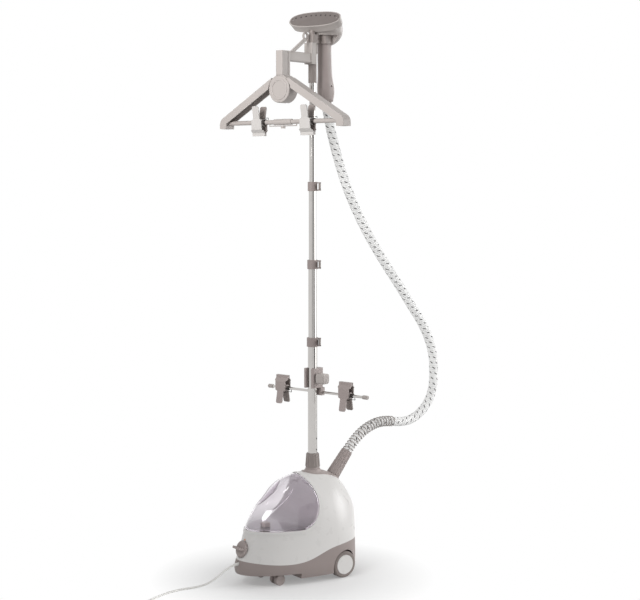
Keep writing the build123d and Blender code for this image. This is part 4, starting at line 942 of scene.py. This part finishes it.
class STEAMER_OT_springs(Operator):
    """Wind the torsion spring beside each clip"""

    bl_idname = "steamer.springs"
    bl_label = "Clip springs"

    def execute(self, context):
        sizes = context.scene.steamer_sizes
        for level, clips, body, up in (("upper", UPPER_CLIPS, "hanger", 1),
                                       ("lower", LOWER_CLIPS, "trouser_bar", -1)):
            for side, place in clips.items():
                name = f"{level}_clip_spring_{side}"
                line = self.spring_line(up, up * sizes.spring_reach, SPRING_RADIUS[level])
                points = [yawed(Vector(place) + Vector(point)) for point in line]
                mesh = curve_mesh(wire_curve(name, points, sizes.spring_wire))
                mesh.name = name
                mesh.shade_smooth()
                spring = shown(name, mesh, bpy.data.materials["spring_steel"], None, "steel")
                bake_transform(spring)
        return {"FINISHED"}

    def spring_line(self, up, height, radius):
        """Points of a spring about its rod: the front leg, the turns and the back leg."""
        start, end = SPRING_COIL
        inset, drop, bend = SPRING_CORNER
        leg = SPRING_LEG
        line = [(SPRING_LEG_END, -leg, height), (start - inset, -leg, height),
                (start, drop - leg, bend * height)]
        for step in range(SPRING_STEPS + 1):
            share = step / SPRING_STEPS
            angle = 2 * math.pi * SPRING_TURNS * share
            line.append((start + (end - start) * share, -radius * math.cos(angle),
                         -up * radius * math.sin(angle)))
        return line + [(end, leg - drop, bend * height), (end - inset, leg, height),
                       (SPRING_LEG_END, leg, height)]


class STEAMER_OT_trim(Operator):
    """Add the hub's raised ring, the hose bushing, the screw heads and the steam hole liners, painted
    dark as the holes' shade
    """

    bl_idname = "steamer.trim"
    bl_label = "Trim"

    def execute(self, context):
        finish = bpy.data.materials
        front = yawed((0.0, -1.0, 0.0))
        mesh = solid_mesh("hub_ring", [lathe(HUB_RING, yawed(HUB_FACE), front, 64)])
        shown("hub_ring", mesh, finish["light_grey_plastic"], "hanger", "light_grey_plastic")
        mesh = solid_mesh("hose_bushing", [lathe(HOSE_BUSH, yawed(HANDLE_FOOT), (0, 0, 1), 48)])
        shown("hose_bushing", mesh, finish["dark_plastic"], "handset", "dark_plastic")
        side = yawed((1.0, 0.0, 0.0))
        out = on_head(0, 0, 1) - on_head(0, 0, 0)
        heads = [screw_head(yawed(place), side, HANDLE_SCREW_RADIUS) for place in HANDLE_SCREWS]
        for across in (-PLATE_SCREW_X, PLATE_SCREW_X):
            heads.append(screw_head(on_head(across, 0.0, 0.0), out, PLATE_SCREW_RADIUS))
        mesh = solid_mesh("handset_screws", heads)
        shown("handset_screws", mesh, finish["steel"], "handset", "steel")
        liners = []
        for step in range(STEAM_HOLES):
            share = 2 * step / (STEAM_HOLES - 1) - 1
            spot = on_head(share * STEAM_ARC, STEAM_RISE * (1 - share * share / 2), STEAM_FLOOR)
            liners.append(lathe(HOLE_LINER, spot, out, 20))
        mesh = solid_mesh("steam_hole_liners", liners)
        # The eyelets take painted shade, dark as the insides of the holes
        shown("steam_hole_liners", mesh, finish["vent_plastic"], "handset", "dark_plastic")
        return {"FINISHED"}


class STEAMER_OT_stage(Operator):
    """Set the pale floor, the soft studio light and the camera"""

    bl_idname = "steamer.stage"
    bl_label = "Stage"

    def execute(self, context):
        scene = context.scene
        stage = scene.steamer_stage
        scene.view_settings.view_transform = "Standard"
        self.make_floor(scene)
        self.make_world(scene, stage)
        for name, power in (("key_lamp", stage.key_power), ("fill_lamp", stage.fill_power),
                            ("rim_lamp", stage.rim_power)):
            self.make_lamp(scene, name, power, *LAMPS[name])
        self.make_card(scene, "grey_card", *GREY_CARD, stage.card_light)
        self.make_card(scene, "dark_card", *DARK_CARD, DARK_CARD_LIGHT)
        camera = bpy.data.cameras.new("camera")
        camera.lens = stage.lens
        camera.sensor_fit = "HORIZONTAL"
        camera.sensor_width = SENSOR_WIDTH
        holder = bpy.data.objects.new("camera", camera)
        holder.location = stage.camera_place
        holder.rotation_euler = stage.camera_turn
        scene.collection.objects.link(holder)
        scene.camera = holder
        return {"FINISHED"}

    def make_floor(self, scene):
        half = FLOOR_HALF
        mesh = bpy.data.meshes.new("floor")
        corners = [(-half, -half, 0), (half, -half, 0), (half, half, 0), (-half, half, 0)]
        mesh.from_pydata(corners, [], [(0, 1, 2, 3)])
        floor = bpy.data.objects.new("floor", mesh)
        scene.collection.objects.link(floor)
        material, tree, shader = blank("studio_floor")
        place = add(tree, "ShaderNodeTexCoord").outputs["Object"]
        mottle = span(tree, noise(tree, place, 3.0, 4.0), 0.3, 0.7, 0.985, 1.0)
        tint = add(tree, "ShaderNodeHueSaturation",
                   {"Color": (*scene.steamer_colours.floor, 1.0), "Value": mottle})
        tree.links.new(tint.outputs["Color"], shader.inputs["Base Color"])
        shader.inputs["Roughness"].default_value = 0.7
        away = add(tree, "ShaderNodeVectorMath", {0: place, 1: SHADOW_CENTRE},
                   operation="DISTANCE").outputs["Value"]
        bright = maths(tree, "MULTIPLY", seen_rays(tree), span(tree, away, *SHADOW_FADE))
        white = add(tree, "ShaderNodeEmission", {"Color": WHITE, "Strength": 1.0})
        surface(tree, "Material Output", bright, shader, white)
        mesh.materials.append(material)

    def make_world(self, scene, stage):
        world = bpy.data.worlds.new("studio")
        world.use_nodes = True
        tree = world.node_tree
        room = tree.nodes["Background"]
        room.inputs["Color"].default_value = WHITE
        room.inputs["Strength"].default_value = stage.world_light
        white = add(tree, "ShaderNodeBackground", {"Color": WHITE, "Strength": 1.0})
        surface(tree, "World Output", seen_rays(tree), room, white)
        scene.world = world

    def make_card(self, scene, name, place, width, brightness):
        """A tall card that only polished pieces mirror."""
        away = Vector((*place, 0.0)).normalized()
        side = Vector((-away.y, away.x, 0.0)) * width / 2
        foot, head = Vector((*place, CARD_FOOT)), Vector((*place, CARD_HEAD))
        mesh = bpy.data.meshes.new(name)
        mesh.from_pydata([foot - side, foot + side, head + side, head - side], [], [(0, 1, 2, 3)])
        card = bpy.data.objects.new(name, mesh)
        scene.collection.objects.link(card)
        material, _, shader = blank(name)
        shader.inputs["Base Color"].default_value = BLACK
        shader.inputs["Emission Color"].default_value = WHITE
        shader.inputs["Emission Strength"].default_value = brightness
        mesh.materials.append(material)
        for kind in ("camera", "diffuse", "transmission", "shadow"):
            setattr(card, "visible_" + kind, False)

    def make_lamp(self, scene, name, power, place, aim, size, spread):
        light = bpy.data.lights.new(name, "AREA")
        light.shape = "DISK"
        light.size = size
        light.energy = power
        light.spread = math.radians(spread)
        lamp = bpy.data.objects.new(name, light)
        lamp.location = place
        lamp.rotation_euler = (Vector(aim) - Vector(place)).to_track_quat("-Z", "Y").to_euler()
        scene.collection.objects.link(lamp)


class STEAMER_PT_build(Panel):
    """Sizes, colours and build steps of the steamer"""

    bl_idname = "STEAMER_PT_build"
    bl_label = "Garment steamer"
    bl_space_type = "VIEW_3D"
    bl_region_type = "UI"
    bl_category = "Steamer"

    def draw(self, context):
        scene = context.scene
        for heading, group in (("Colours", scene.steamer_colours), ("Sizes", scene.steamer_sizes),
                               ("Stage", scene.steamer_stage)):
            box = self.layout.box()
            box.label(text=heading)
            for key in group.__annotations__:
                box.prop(group, key)
        for step in STEPS:
            self.layout.operator(step.bl_idname)


STEPS = (STEAMER_OT_stage, STEAMER_OT_finishes, STEAMER_OT_hose, STEAMER_OT_guard, STEAMER_OT_lead,
         STEAMER_OT_tie, STEAMER_OT_springs, STEAMER_OT_trim)
GROUPS = (SteamerColours, SteamerSizes, SteamerStage)


def register():
    for kind in (*GROUPS, *STEPS, STEAMER_PT_build):
        bpy.utils.register_class(kind)
    bpy.types.Scene.steamer_colours = PointerProperty(type=SteamerColours)
    bpy.types.Scene.steamer_sizes = PointerProperty(type=SteamerSizes)
    bpy.types.Scene.steamer_stage = PointerProperty(type=SteamerStage)


def unregister():
    for key in ("steamer_colours", "steamer_sizes", "steamer_stage"):
        delattr(bpy.types.Scene, key)
    for kind in (STEAMER_PT_build, *reversed(STEPS), *reversed(GROUPS)):
        bpy.utils.unregister_class(kind)


def main():
    register()
    bpy.ops.steamer.stage()
    bpy.ops.steamer.finishes()
    bpy.ops.steamer.hose()
    bpy.ops.steamer.guard()
    bpy.ops.steamer.lead()
    bpy.ops.steamer.tie()
    bpy.ops.steamer.springs()
    bpy.ops.steamer.trim()


if __name__ == "__main__":
    main()
